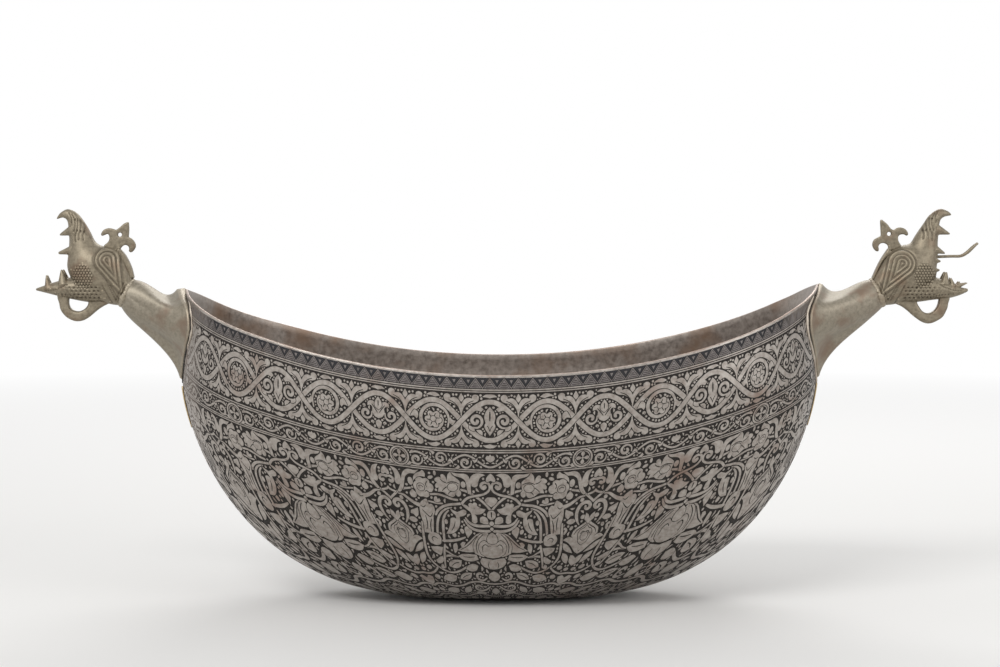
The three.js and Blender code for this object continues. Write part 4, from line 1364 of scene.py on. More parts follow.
def flat_relief(marks, width, cell=5.0):
    """Plates of metal (material 0) in dark cut edges (1), clipped to the strip and cut to a grid."""
    bm = bmesh.new()

    def plate(outline, top, material):
        face = bm.faces.new([bm.verts.new((x, -y, PLATE_FOOT)) for x, y in outline])
        made = bmesh.ops.extrude_face_region(bm, geom=[face], use_keep_orig=True)
        upper = [v for v in made["geom"] if isinstance(v, bmesh.types.BMVert)]
        for vertex in upper:
            vertex.co.z = top
            for touching in vertex.link_faces:
                touching.material_index = material
        face.material_index = material

    for order, (level, kind, *values) in enumerate(marks):
        outline = drawn(kind, *values)
        # Each mark is a hair higher than the one before, so no two tops lie in one plane
        top = PLATE_STEP * (level + 1 + HAIR * (order % 7))
        if kind in ("cut", "pit"):
            plate(outline, top + CUT_OVER * PLATE_STEP, 1)
            continue
        plate(widened(outline, EDGE_CUT), top - EDGE_UNDER * PLATE_STEP, 1)
        plate(outline, top, 0)
    bmesh.ops.triangulate(bm, faces=bm.faces)
    depth = max(-v.co.y for v in bm.verts)
    cuts = [((x, 0, 0), (1, 0, 0)) for x in np.arange(cell, width - 0.1, cell)]
    cuts += [((0, -y, 0), (0, 1, 0)) for y in np.arange(cell, depth, cell)]
    for place, direction in cuts:
        bmesh.ops.bisect_plane(bm, geom=[*bm.verts, *bm.edges, *bm.faces], dist=1e-4, plane_co=place,
                               plane_no=direction)
    for place, direction in (((0, 0, 0), (-1, 0, 0)), ((width, 0, 0), (1, 0, 0))):
        bmesh.ops.bisect_plane(bm, geom=[*bm.verts, *bm.edges, *bm.faces], dist=1e-4, plane_co=place,
                               plane_no=direction, clear_outer=True)

    def in_a_cut(edge):
        """Whether an edge lies along one of the grid's cuts."""
        a, b = (vertex.co / cell for vertex in edge.verts)
        return any(abs(a[i] - b[i]) < ON_A_CUT and abs(a[i] - round(a[i])) < ON_A_CUT for i in (0, 1))

    # A plate bends along the cuts only, so what is flat between two cuts becomes one face again
    loose = [edge for edge in bm.edges if not in_a_cut(edge)]
    bmesh.ops.dissolve_limit(bm, angle_limit=FLAT, verts=bm.verts, edges=loose, delimit={"MATERIAL"})
    bmesh.ops.recalc_face_normals(bm, faces=bm.faces)
    return bm


def repeated(bm, width, count):
    """The half repeat turned over and stepped along: count whole repeats side by side."""
    geometry = [*bm.verts, *bm.edges, *bm.faces]
    made = bmesh.ops.duplicate(bm, geom=geometry)
    copies = [v for v in made["geom"] if isinstance(v, bmesh.types.BMVert)]
    bmesh.ops.scale(bm, vec=(-1, 1, 1), verts=copies)
    bmesh.ops.reverse_faces(bm, faces=[f for f in made["geom"] if isinstance(f, bmesh.types.BMFace)])
    geometry = [*bm.verts, *bm.edges, *bm.faces]
    for k in range(1, count):
        made = bmesh.ops.duplicate(bm, geom=geometry)
        copies = [v for v in made["geom"] if isinstance(v, bmesh.types.BMVert)]
        bmesh.ops.translate(bm, vec=(2 * width * k, 0, 0), verts=copies)
    return bm


# The drawing's axes lie a little off the bowl's middle. Below STRETCH_FROM, what was drawn for the
# wall of a side is stretched to the length that the wall has at each turn.
AXIS_SHIFT = -7.5
STRETCH_FROM = 90.0
SIDE_WALL = 187.8
FLANGE_HEIGHTS = [z for y, z in reversed(FLANGE_OUTLINES["left"])]
FLANGE_REACHES = [y for y, z in reversed(FLANGE_OUTLINES["left"])]


def engraved(bm, name, width, count, stretch=0.0):
    """Wraps a flat relief round the hull. stretch widens the repeats in the middle of each side."""
    print(name, "flat faces", len(bm.faces))
    mesh = mesh_from(bm, name)
    flat = positions(mesh)
    share = np.mod(flat[:, 0] / (2 * width * count) + 0.25, 0.5) - 0.25
    base = flat[:, 0] / (2 * width * count) - share
    turn = base + share * (1 + stretch) - 16 * stretch * share ** 3
    turn = turn + AXIS_SHIFT / RIM_LENGTH * np.cos(2 * math.pi * turn) ** 2
    depth = -flat[:, 1]
    drop = depth + (wall_at(turn) - SIDE_WALL) * ease(depth, STRETCH_FROM, SIDE_WALL)
    set_positions(mesh, on_hull(turn, drop, flat[:, 2]) * MM)
    layer = mesh.uv_layers.new(name="wall")
    corners = np.zeros(len(mesh.loops), int)
    mesh.loops.foreach_get("vertex_index", corners)
    wall = np.stack([turn * RIM_LENGTH * MM, -drop * MM], -1)
    layer.data.foreach_set("uv", wall[corners].astype(np.float32).ravel())
    # What lies well under a flange is never seen
    points = positions(mesh) / MM
    heights = points[:, 2] + np.where(points[:, 0] < 0, LEFT_LOWER, 0)
    reach = np.interp(heights, FLANGE_HEIGHTS, FLANGE_REACHES)
    under = (np.abs(points[:, 1]) < reach - 3) & (np.abs(points[:, 0]) > 120)
    bm = bmesh.new()
    bm.from_mesh(mesh)
    bm.verts.ensure_lookup_table()
    hidden = [f for f in bm.faces if all(under[v.index] for v in f.verts)]
    bmesh.ops.delete(bm, geom=hidden, context="FACES")
    bmesh.ops.remove_doubles(bm, verts=bm.verts, dist=0.002 * MM)
    bm.to_mesh(mesh)
    bm.free()
    return mesh


# %% [markdown]
# ## The great field
#
# Below the bands runs a field of arabesque: a great lotus under an arch of ribbons, a small lotus
# between trunks of leaves, and split palmettes, peonies and buds hung from crossing stems.

# %% The field's stems, from the middle of the great lotus to the middle of the small one
FIELD_WIDTH = 70.0
FIELD_MARKS = read_marks("""
# Stems first, for the flowers lie over them
0 stem 0.2,86.4 3.5,82.2 8,78.2 12,75.6 16.4,73.2 20.4,72.4 ; 1.5 1.5 1.7 1.4
1 stem 3.7,69.5 4.7,70.9 6.3,69.6 5.8,67.7 3.4,66.9 1.2,67.9 0.6,70.4 1.7,72.8 4.5,74.7 8.5,75.8 13,76.7
    17,78.6 20,81.8 ; 2.6 1.9 1.6 1.4 1.5 1.7
0 stem 19.6,81.8 24.5,82.6 29.5,83.4 34,85.2 37.8,88.2 39.9,91.2 ; 1.6 1.7 1.8
0 stem 27.5,85.1 31.6,86.4 35.4,89.4 38,93 39.6,97 40.8,101.4 41.6,106 ; 0.8 1.5 1.7 1.6
0 stem 30,87.3 32.6,90 34.7,94 35.8,98.6 36.7,104 37.6,110.5 ; 0.9 1.7 1.9 1.7
0 stem 22.8,79.6 27,79 31.4,77.6 36,76.6 42,77.2 ; 1.5 1.5 1.3
0 stem 33.6,82.8 38,82.8 43.2,82 ; 1.1 1.3 1.0
0 stem 50.5,73 55,74.4 59.4,75.4 63.6,77.8 68,81.6 72,85.6 ; 1.0 1.5 1.5 1.6
1 stem 50,85.6 53.6,84.3 57.2,81.9 60.2,79.7 63.6,79.2 ; 3.0 2.2 1.7 0.7
1 stem 68,70.7 67,71.7 65.5,70.8 65.7,69 67.8,68 70.4,68.8 71.4,71.6 70.9,74.8 68.7,77.2 65.2,78.3 ; 2.0
    1.9 1.7 1.5 1.2
""")
print("stems:", len(FIELD_MARKS))

# %% The upper flowers of the field
FIELD_MARKS += read_marks("""
# Finial and split palmette over the great lotus
2 form 0,60.9 | 1.6,62.2 2.9,64.4 3,66.2 | 1.7,66.5 0,65.6 -1.7,66.5 | -3,66.2 -2.9,64.4 -1.6,62.2 0,60.9
2 form 3.4,62 | 6,61 9.2,61 12,62.4 13.7,65 | 14.4,62.8 17,61.5 21.5,61.6 25.6,60.8 | 23.6,63 19.2,64.2
    16.8,65.8 15.9,69 15.4,74.6 | 13,75.6 | 13.2,70 12.6,67.4 | 12.5,69.3 10.7,70.2 8.7,69.2 8,66.4
    6.9,63.9 5.2,62.7
2 form 0,76.8 | 2.6,77 4.4,78.8 | 3.4,80.8 2,82.2 0,83.6 | -2,82.2 -3.4,80.8 -4.4,78.8 -2.6,77 0,76.8
# Tulip, its buds and its bract
1 bead 18.1 68.8 1.7 2.2
1 bead 21.6 74.9 1.7 2.3 -20
1 form 20.6,71 | 20.2,68.6 20.4,66.6 22.6,64.6 25,62.8 26,60.7 | 27.8,62.6 28.5,65.4 28.9,67 | 29.4,64.4
    31,62.7 32.6,63.4 32.4,65.2 | 34.2,64.7 36.6,66 36.7,67.6 35.3,68.4 | 36.8,70.2 36.6,72.2 34.6,71.8 |
    35.6,74.8 | 32,74.6 29.6,76.4 26,77.6 24,76.2 23.2,73.8 | 21,72.6
2 bead 25.3 71 3.4 2.7 12
1 cut 20.9,68.4 23.4,67.5 26.2,67.4 29,68.6 ; 0.3 0.55 0.3
1 cut 29.3,71 31,72.3 32.6,74 ; 0.5 0.3
1 cut 29.6,68.2 31.6,67.4 33,66 ; 0.5 0.3
1 cut 26,73.8 27.6,74.4 28.6,75.8 ; 0.5 0.3
1 bead 36.4 62.3 0.9 1.7
1 bead 39.6 65.4 1.9 1.1 22
# Peony and its buds
1 form 40.6,69.4 | 38.7,70.6 38.3,73.2 39.8,75.4 | 42,75.9 41.9,78.2 44,79.6 46.4,79.1 | 48.6,79.3
    50.6,77.4 50.9,75 | 52,72.8 51.2,70 49.8,69.2 | 49.6,67 47,66 44.8,66.9 | 42.6,66.4 40.8,67.6
    40.6,69.4
2 bead 46.9 72.7 2.6 2.6
2 cut 45.3,72.6 46.8,71.5 48.6,72.2 ; 0.4 0.3
1 cut 42.3,68.6 43.4,70.4 42.9,72.4 ; 0.5 0.3
1 cut 42,75.6 43.4,74.8 44.4,75.6 ; 0.5 0.3
2 form 44.4,60.9 | 46.2,62.4 48.7,63.5 50.8,65.8 51.5,69 | 49.2,66.6 46.4,65.3 43.2,65.5 | 42.9,63
    44.4,60.9
1 bead 53.5 69.4 1.8 2.7
1 form 53,74.8 | 55.2,77.2 55,79.6 53,80.7 51,79.6 50.9,77.2 53,74.8
2 bead 52.9 73.4 0.8
# Split palmette beside the small lotus
2 form 46.9,61.2 | 50,61.8 54,61.4 57,63 58.9,66.2 59.6,69 | 60.2,65.8 62,62.4 65.9,61 | 64.1,64.2
    63.6,67.6 64.3,70 63.4,72.5 61.4,72.7 60.7,70.6 | 61.4,73.6 63.8,77.4 | 62,78 59.2,74.8 57.8,70.6
    56.4,66.6 53.4,64.3 50,64.1
2 form 70,61.3 | 68.3,63 67.3,65.2 67.4,66.8 | 68.6,67.2 70,66.2 71.4,67.2 | 72.6,66.8 72.7,65.2 71.7,63
    70,61.3
""")
print("with the upper flowers:", len(FIELD_MARKS))

# %% Under the arch, and the great lotus
FIELD_MARKS += read_marks("""
# Under the arch
1 form 3.9,85.1 | 7,84.5 9.6,83 | 9.9,81.2 11.6,80.6 12.6,81.6 | 14.2,81 15.6,82.2 15,84.1 | 17.6,82.6
    20.4,82.4 | 17.8,85 14.9,87.2 13.9,90 14.1,94.4 | 12,95.6 10.2,94.4 | 10.3,91 11.7,88.9 | 8.4,88.9
    5.4,87.4 3.9,85.1
2 form 17.4,86.9 | 19.4,85.9 21.8,87 23.9,88 | 26.6,86.9 28.8,85.7 | 27.6,88.2 25.5,90.4 25.2,93 |
    26.9,92.1 29.3,92.9 30.1,95.8 31.3,99.4 34.4,104.2 | 29.6,103.8 25.3,100.5 22.9,96 22.7,91.2 |
    19.7,90.4 17.8,89 17.4,86.9
2 cut 26.4,95 27.6,98.4 30,101.6
1 bead 33.1 95.6 1.3 1.9 -10
1 form 34.6,81.2 | 35.2,79.4 36.6,79.9 | 37,78.3 38.6,78.6 39.2,80.6 38.8,82 | 36.6,82.3 34.6,81.2
# Knot, sepals and bows over the great lotus
2 form 0,85.8 | 2,86.6 3,88.8 2.6,91 0.9,92.4 | 0,92.6 -0.9,92.4 | -2.6,91 -3,88.8 -2,86.6 0,85.8
2 cut 0,87.2 0,90.6 ; 0.7 0.5
2 form 2.4,93.9 | 3.2,91.4 6,90.2 8.1,91.5 8.2,94.4 | 5.6,95.5 2.4,95.4 2.4,93.9
3 bead 0 95.2 1.7
3 bead 0 99.2 1.3
2 stem 1.4,96.9 8,97.2 13,96.7 16.5,94.7 18.5,91.6 ; 1.9 2.0 1.8 1.0
2 stem 1.4,100.8 8,100.9 13,99.8 17,97.2 19.6,93 ; 1.9 2.0 1.8 1.0
# Great lotus: long side petals, then round ones, then the drop
1 form 6,101.9 | 11.5,103.4 17.4,108.6 22,112.4 28.8,116.4 | 22,117.6 15,117.2 8,116 2,112
1 cut 11.6,104.7 16,109.2 20.4,113 26,115.8 ; 0.4 0.5 0.3
2 form 3.6,101.9 | 8.8,103.2 12.8,107.4 15.4,112.6 14.8,118.2 | 8,121 0,119 | 0,106
2 cut 6.6,103.2 10.6,107.2 12.9,112.4 12.6,117.6 ; 0.4 0.5 0.4
3 form 0,109.4 | 3.4,109.8 6.2,107.9 9.6,110 11.2,114 9.6,118.6 | 5,121.2 0,122 | -5,121.2 -9.6,118.6 |
    -11.2,114 -9.6,110 -6.2,107.9 -3.4,109.8 0,109.4
3 cut 3.2,112.6 5.6,111 8,113 8,117
4 form 0,101.6 | 2.8,103.8 4.2,107 3.2,109.6 0,110.6 | -3.2,109.6 -4.2,107 -2.8,103.8 0,101.6
2 form 13.6,119.4 | 20,119 25.6,119.3 29.4,121 | 24.6,124.4 18,125 12.4,123.4 | 13.6,119.4
2 cut 15.4,121.2 20,121.6 25,121.4
2 form 0,123.4 | 4.6,122.6 9.4,121.8 | 11.2,125.4 8.6,129.4 4,131.4 0,132 | -4,131.4 -8.6,129.4
    -11.2,125.4 | -9.4,121.8 -4.6,122.6 0,123.4
2 cut 3.6,125.2 4.6,128.4 3.6,131
""")
print("with the great lotus:", len(FIELD_MARKS))

# %% Between the two lotuses
FIELD_MARKS += read_marks("""
# Bay between the great lotus and the trunk
1 form 15,99.8 | 18.4,97.8 20.2,99.6 19.8,103 18.6,106.6 | 16.6,104.4 14.8,102.4
1 bead 22.2 101.6 1.5 1.9 20
1 bead 28.6 104.9 1.6 1.7
0 stem 20.6,106.2 25,107.9 30,109.2 35,109.8 39,110 ; 1.1 1.8 1.9 1.4
1 form 28.2,110.8 | 30.8,112 31.8,115.4 31.4,118.8 | 29.4,117.4 27.9,114 28.2,110.8
1 stem 36.4,115.4 37.4,114.2 39,115 38.8,117.2 36.4,118.6 33.4,120.6 29.2,121.8 ; 1.3 1.4 1.5 1.2 0.8
0 stem 30.4,122 35,121.2 40,121.8 44,124 ; 1.0 1.6 1.5
1 form 25.4,111.6 | 23.2,109.8 21,110 | 22.4,112.4 24.6,114.2 | 25.4,111.6
# Trunk: leafy crown, ribbon and buds
1 form 39.9,86 | 41.4,83.9 43.4,84.2 | 44.4,80.6 46.8,81.6 49,83.4 50.3,86 | 51,92 50.4,99 51,105 |
    44.6,105.4 | 42.6,98 41.6,92.6 40,89.4 39.9,86
1 cut 45.8,85 47.4,86.6 49.4,85.8
1 cut 41.8,90.2 43.9,93.2 46.5,91.4 48.7,88.6 ; 0.3 0.55 0.3
1 cut 43.5,94.6 45.2,99 45.9,104 ; 0.3 0.6 0.4
1 cut 47.4,92.6 47.2,97.4 48.2,102 ; 0.3 0.55 0.3
2 stem 51.2,97.4 52.2,103 53.4,109 54.7,115.6 55.4,121.4 54.2,126.4 51,130.6 ; 1.2 1.7 1.9 1.8 1.5
1 form 39.6,108.8 | 40.6,105.6 44.4,104.4 48.2,105.6 50.2,109.4 49,112.4 | 45,113.6 41,112.4 39.6,108.8
1 cut 42.6,108.8 44.8,107.4 47,108.8 46.4,110.8
1 form 40.2,115 | 44.6,114.6 50,115.2 | 49.4,118 46.8,120 | 44.4,121.4 | 42.4,119.4 40.2,115
1 form 42.6,121.8 | 45.4,122.6 47.6,124 50.2,125.4 | 49.2,127.8 46,127.6 43.4,125.4 42.6,121.8
1 stem 37.8,112.6 39.6,117 41,121.4 42.8,126.6 44.2,131 ; 1.4 1.7 1.6 1.2
# Bay beside the small lotus
1 stem 65.3,86.4 65.5,88.2 67.2,88.7 68.5,86.8 67.2,84.4 64.4,83.8 61.6,85.8 60.2,89.6 60.5,93.6 61.8,97
    63.8,99.8 ; 1.5 2.0 2.3 2.5 2.4 2.0 0.6
1 bead 62.1 81.8 1.3 1.5 20
1 form 51.9,87.6 | 54.6,88.9 57.3,90.2 58,92.3 | 56,92.9 54.8,94.8 | 52.8,93.2 52,90.4 51.9,87.6
1 form 54,96.8 | 56,95 59,95.1 60.6,97 | 58.4,98.5 55.8,98.4 54,96.8
1 bead 65.2 94.3 1.7 1.6
1 stem 52.6,102.2 54,101.4 55.2,102.8 54.2,105 51.9,104.4 51.6,101.4 53.2,98.6 ; 1.2 1.6 1.9 2.1 1.9 1.0
1 bead 58.7 101.6 1.2 1.6 30
""")
print("with the trunk:", len(FIELD_MARKS))

# %% The small lotus and the lower foliage
FIELD_MARKS += read_marks("""
# Small lotus
2 form 66.9,91.6 | 69,93.2 70,95.6 | 71,93.2 73.1,91.6 | 73.4,96 70,99.6 | 66.6,96
1 form 70,95.8 | 67.8,98.6 64,101.2 61,103.6 60.2,107.4 | 62.6,109.6 66,114 70,118.8 | 74,114 77.4,109.6 |
    79.8,107.4 79,103.6 76,101.2 72.2,98.6 70,95.8
1 cut 62,106.6 63.4,103.8 66.8,101.6 69.4,99.6 ; 0.3 0.55 0.3
2 form 70,100.6 | 68.2,102.8 66.2,103.6 65,106.4 66,109.4 | 67.2,112.6 70,114.6 | 72.8,112.6 74,109.4 |
    75,106.4 73.8,103.6 71.8,102.8 70,100.6
3 bead 70 108.2 2.6 3.0
2 cut 66.6,106.6 68,104.8 69.4,105
1 form 54.6,109.9 | 58,107.9 61.6,108.9 65,112.2 69.4,118.4 70,121 | 66.8,119.4 62.4,114.8 58.6,111.8
    54.6,109.9
1 form 55.4,112.2 | 58.6,113.4 62.4,116.6 65.6,120.4 | 60.6,119 57,116.6 55.4,112.2
1 form 57.6,119.8 | 61.4,121.2 64,124.6 64.6,128.6 | 60.8,126.8 58,123.4 57.6,119.8
1 form 64.8,122 | 67.4,122.4 70,124.6 | 72.6,122.4 75.2,122 | 74.4,127 70,130.6 | 65.6,127 64.8,122
# Lower foliage, drawn larger across because the wall draws in towards the base
0 stem 51,130.6 46,134 39,135.6 31,133.6 23,129.6 17,127.8 ; 1.4 1.6 1.6 1.2
0 stem 51,130.6 56,134.6 63,137 71,136.4 ; 1.4 1.6 1.4
1 form 13.6,128.8 | 17.8,127.2 23,129 25.4,132.2 | 21,134 16,133 13.6,128.8
1 form 27.4,124.6 | 33,124.2 38.6,126.4 40.2,130 | 35,131.6 29.6,129.6 27.4,124.6
1 cut 30,126.2 34,127.2 37.6,129.4
1 form 45.4,128.2 | 48,129.8 48.2,132.4 | 44.6,131.8
1 bead 60 131.6 2.6 1.8 15
1 bead 66.6 133.2 2.2 1.5
1 form 0,134 | 4,136 5.6,139.6 3.4,143 0,144.4 | -3.4,143 -5.6,139.6 -4,136 0,134
1 stem 11,137.4 13.6,135.8 16.6,137.6 16,141.6 11.6,143 7.4,140.6 ; 1.8 2.2 2.4 2.2 1.0
1 form 21,135.6 | 27,135.4 32,137.6 35,141.6 | 29,142.6 23.6,140.4 21,135.6
1 cut 23.6,137.2 28,138.4 32,140.8
1 form 37,138.6 | 43,137 49,138.4 53,142 | 47,144.6 40.6,143.4 37,138.6
1 bead 57.6 139.8 3.0 2.1 20
1 form 63,139.8 | 66.6,138.6 70,141 | 73.4,138.6 77,139.8 | 74.6,144.6 70,147.4 | 65.4,144.6 63,139.8
0 stem 0,147.4 8,146.6 17,144.6 26,145.4 36,148.6 46,149.4 56,147 64,146.6 72,149.4 ; 1.6 1.7 1.7
1 stem 15,150.4 18,148.8 22,150.4 21.6,154 16,155.6 10,153.8 5,150 ; 1.9 2.3 2.5 2.3 1.2
1 form 28,149.6 | 34,151.4 38,154.6 40,158.6 | 33,157.6 28.6,154.4 28,149.6
1 form 44,152.4 | 50,151 57,152.4 61,156 | 54,158.6 47,157.2 44,152.4
1 form 0,152 | 3.6,154.6 4.6,158.4 0,162.4 | -4.6,158.4 -3.6,154.6 0,152
1 bead 66 153.2 3.2 2.2
0 stem 0,166 10,164.8 20,160.6 30,161.4 42,164.8 54,163.4 64,160 72,160.6 ; 1.7 1.8 1.8
1 form 12,158.2 | 20,156.6 26,157.6 | 22,160.2 14,161.4 12,158.2
1 bead 35 168.4 6.0 2.6
1 bead 55 168 5.4 2.4
1 bead 16 169 6.0 2.5
1 form 62,166 | 70,163.4 78,166 | 76,171 70,173.4 64,171 62,166
""")
print("marks in the field", len(FIELD_MARKS))

# %% The field round the bowl, in four pieces
def engraved_side(marks, name, width, count, parts, stretch=0.0, offset=0.0, metals=(tin, edge_black)):
    """The marks round the whole bowl, kept as several pieces of equal length."""
    half = flat_relief(marks, width)
    whole = repeated(half, width, count // parts)
    step = 2 * width * (count // parts)
    flat = mesh_from(whole, name)
    for part in range(parts):
        bm = bmesh.new()
        bm.from_mesh(flat)
        bmesh.ops.translate(bm, vec=(step * part + offset, 0, 0), verts=bm.verts)
        mesh = engraved(bm, f"{name}_{part + 1}", width, count, stretch)
        keep(mesh, f"{name}_{part + 1}", ["bowl_body"], metals, False)
    bpy.data.meshes.remove(flat)


FIELD_STRETCH = 0.0707
# Each kind of filler: its radius and the gap that it keeps
field_fill = fillers(FIELD_MARKS, FIELD_WIDTH, 61, 172,
                     [("leaf", 2.3, 0.5), ("leaf", 1.6, 0.5), ("dot", 0.8, 0.6)], 3)
engraved_side(FIELD_MARKS + field_fill, "field_engraving", FIELD_WIDTH, 8, 4, FIELD_STRETCH)

# %% [markdown]
# ## The bands under the rim
#
# Under the rim runs a zigzag on a hatched ground, then a wide band of bold interlaced scrolls, then a
# narrow scroll with roundels. The wide band is drawn as a traditional arabesque: two bold stems that
# cross, with split leaves at the crossings and small curls and dots in the gaps.

# %% The wide band's drawing
LOOP = 35.0
BAND_MIDDLE = 27.6
STEM_SWING = 12.1


def crossing_stem(sign):
    """One of the two bold stems: they cross every LOOP millimetres."""
    return [(x, BAND_MIDDLE + sign * STEM_SWING * math.cos(math.pi * x / LOOP))
            for x in np.arange(-2.5, 74, 5.0)]


def placed(text, x, y, across, down):
    """A short text's points moved to a place, and turned over where across or down is negative."""
    runs = [[(x + across * px, y + down * py) for px, py in read_points(run)] for run in text.split("|")]
    return " | ".join(" ".join(f"{px:.2f},{py:.2f}" for px, py in run) for run in runs)


def palmette(x, y, across, down):
    """Two curled half leaves with a bud between them, springing from a crossing."""
    leaf = ("0,2 | -0.9,6 -2.7,8.8 -5.2,10.7 -8.2,11.4 | -10.4,12.7 -10.8,15.2 -8.9,16.4 -6.9,15.6"
            " -6.7,13.9 | -4,14.3 -1.5,12.7 0,10 | 1.5,12.7 4,14.3 6.7,13.9"
            " | 6.9,15.6 8.9,16.4 10.8,15.2 10.4,12.7 8.2,11.4 | 5.2,10.7 2.7,8.8 0.9,6 0,2")
    return [(2, "form", placed(leaf, x, y, across, down)),
            (2, "form", placed("0,11.6 | -1.6,14 0,17 | 1.6,14 0,11.6", x, y, across, down)),
            (2, "cut", placed("-0.5,4.4 -1.8,8 -4.4,11 -7.6,12.6", x, y, across, down), USUAL_CUT),
            (2, "cut", placed("0.5,4.4 1.8,8 4.4,11 7.6,12.6", x, y, across, down), USUAL_CUT)]


MAIN_MARKS = read_marks("""
0 stem -1,8.3 71,8.3 ; 0.75
0 stem -1,9.6 71,9.6 ; 0.6
0 stem -1,45.9 71,45.9 ; 0.7
0 stem -1,47.3 71,47.3 ; 0.8
""")
MAIN_MARKS += [
    (0, "stem", crossing_stem(1), (3.0,)),
    (1, "stem", crossing_stem(-1), (3.0,)),
]
MAIN_MARKS += read_marks("""
# Round the axis: a tall bud between two scrolls
2 form 0,18.6 | 2.4,21.6 3.4,25 2.6,28.6 | 3.4,30.8 2.2,33.4 0,36.6 | -2.2,33.4 -3.4,30.8 -2.6,28.6 |
    -3.4,25 -2.4,21.6 0,18.6
2 cut 0,21.6 0,27.4 ; 0.4 0.9 0.3
2 cut 1.6,30.4 0.6,32 0,34 ; 0.4 0.3
""")
MAIN_MARKS += [
    (1, "stem", curl(8.6, 27.4, 4.8, 60, 500, 12, 0.16), (0.8, 1.6, 1.9, 2.0, 1.9, 1.8)),
]
MAIN_MARKS += read_marks("""
1 form 12.6,30.2 | 13,32 11.2,33.6 9.2,33.8 | 9.6,32.2 10.8,31.2
1 form 3.8,20.2 | 6.2,18.4 9,19.4 10.6,21.6 | 7.8,21 5.4,21.8
1 form 4.4,34.4 | 5.8,33 8.4,33.2 | 7,35 4.6,36.6
""")
print("round the axis of the wide band:", len(MAIN_MARKS))

# %% The wide band between its axes: a flower in a wound stem
MAIN_MARKS += [
    (1, "stem", curl(35, 27.4, 10.2, 152, 420, 14, 0.52), (0.9, 1.9, 2.1, 2.1, 1.9, 1.7)),
]
MAIN_MARKS += read_marks("""
2 form 35,23.6 | 36.9,22.5 38.4,23.6 38.1,25.6 | 40,26.5 40.1,28.5 38.4,29.5 | 38.7,31.4 37.2,32.6
    35.4,31.6 | 33.8,32.8 31.9,32 31.9,30 | 29.9,29.3 29.6,27.2 31.3,26.1 | 31,24 32.6,22.5 35,23.6
3 bead 35 27.4 1.7
2 cut 36.6,25.8 37.4,24.4 ; 0.5 0.3
2 cut 37.2,28 39,28 ; 0.5 0.3
2 cut 35.8,29.6 36.6,31.2 ; 0.5 0.3
2 cut 33.6,29.2 32.6,31 ; 0.5 0.3
2 cut 33,26.8 31,26.8 ; 0.5 0.3
2 cut 34.2,25.4 33.4,24 ; 0.5 0.3
1 form 44.6,24 | 46.6,22.6 48.2,24.4 49.6,27 | 47,26.6 45.4,28.2 | 44.4,26.4 44.6,24
1 form 24.8,29.4 | 22.8,30.6 21,27.8 | 23,27.4 24.4,25.6
""")
print("with the flower between the axes:", len(MAIN_MARKS))

# %% The wide band round its other axis: an open flower seen from the side
MAIN_MARKS += read_marks("""
2 form 70,17.6 | 72,20.6 72.3,23.6 70,25.8 | 67.7,23.6 68,20.6 70,17.6
1 form 70,24.6 | 68.4,21.8 65.4,20.6 63.2,21.8 63,24 | 65,23.6 66.2,25 66,27.4 67.4,30 70,31.2 | 72.6,30
    74,27.4 73.8,25 75,23.6 | 77,24 76.8,21.8 74.6,20.6 71.6,21.8 70,24.6
2 cut 69.4,27.6 67.6,25 65.8,22.8
2 cut 70,20 70,23.4 ; 0.3 0.6 0.3
1 form 70,32 | 68.2,33.2 68.4,35.6 70,38 | 71.6,35.6 71.8,33.2 70,32
""")
MAIN_MARKS += [
    (1, "stem", curl(62, 28.8, 4.0, -20, 430, 10, 0.2), (0.7, 1.4, 1.8, 1.8, 1.6)),
]
MAIN_MARKS += read_marks("""
# Leaves in the shallow gaps over and under the stems' bends
1 form 0,11 | 2.6,11.2 4.6,12.6 | 2.2,12.8 0,13.4 | -2.2,12.8 -4.6,12.6 | -2.6,11.2 0,11
1 form 0,44.6 | 2.6,44.2 4.6,42.6 | 2.2,42.6 0,41.9 | -2.2,42.6 -4.6,42.6 | -2.6,44.2 0,44.6
1 form 70,11 | 67.4,11.2 65.4,12.6 | 67.8,12.8 70,13.4 | 72.2,12.8 74.6,12.6 | 72.6,11.2 70,11
1 form 70,44.6 | 67.4,44.2 65.4,42.6 | 67.8,42.6 70,41.9 | 72.2,42.6 74.6,42.6 | 72.6,44.2 70,44.6
1 form 30.6,12.8 | 33.4,11 36.8,11.2 39.4,12.8 | 36.6,12.8 33.6,13.6
1 form 30.6,42.6 | 33.4,44.6 36.8,44.4 39.4,42.6 | 36.4,42.6 33.4,41.8
""")
print("with the open flower and the leaves:", len(MAIN_MARKS))

# %% The wide band's palmettes, and the fillers in its gaps
for crossing in (0.5 * LOOP, 1.5 * LOOP):
    MAIN_MARKS += palmette(crossing, BAND_MIDDLE, 1, 1) + palmette(crossing, BAND_MIDDLE, 1, -1)
MAIN_MARKS += fillers(MAIN_MARKS, FIELD_WIDTH, 10.4, 45,
                      [("curl", 1.35, 0.45), ("leaf", 1.2, 0.4), ("dot", 0.7, 0.45), ("dot", 0.45, 0.4)], 5)
engraved_side(MAIN_MARKS, "wide_band_engraving", FIELD_WIDTH, 8, 2, FIELD_STRETCH)

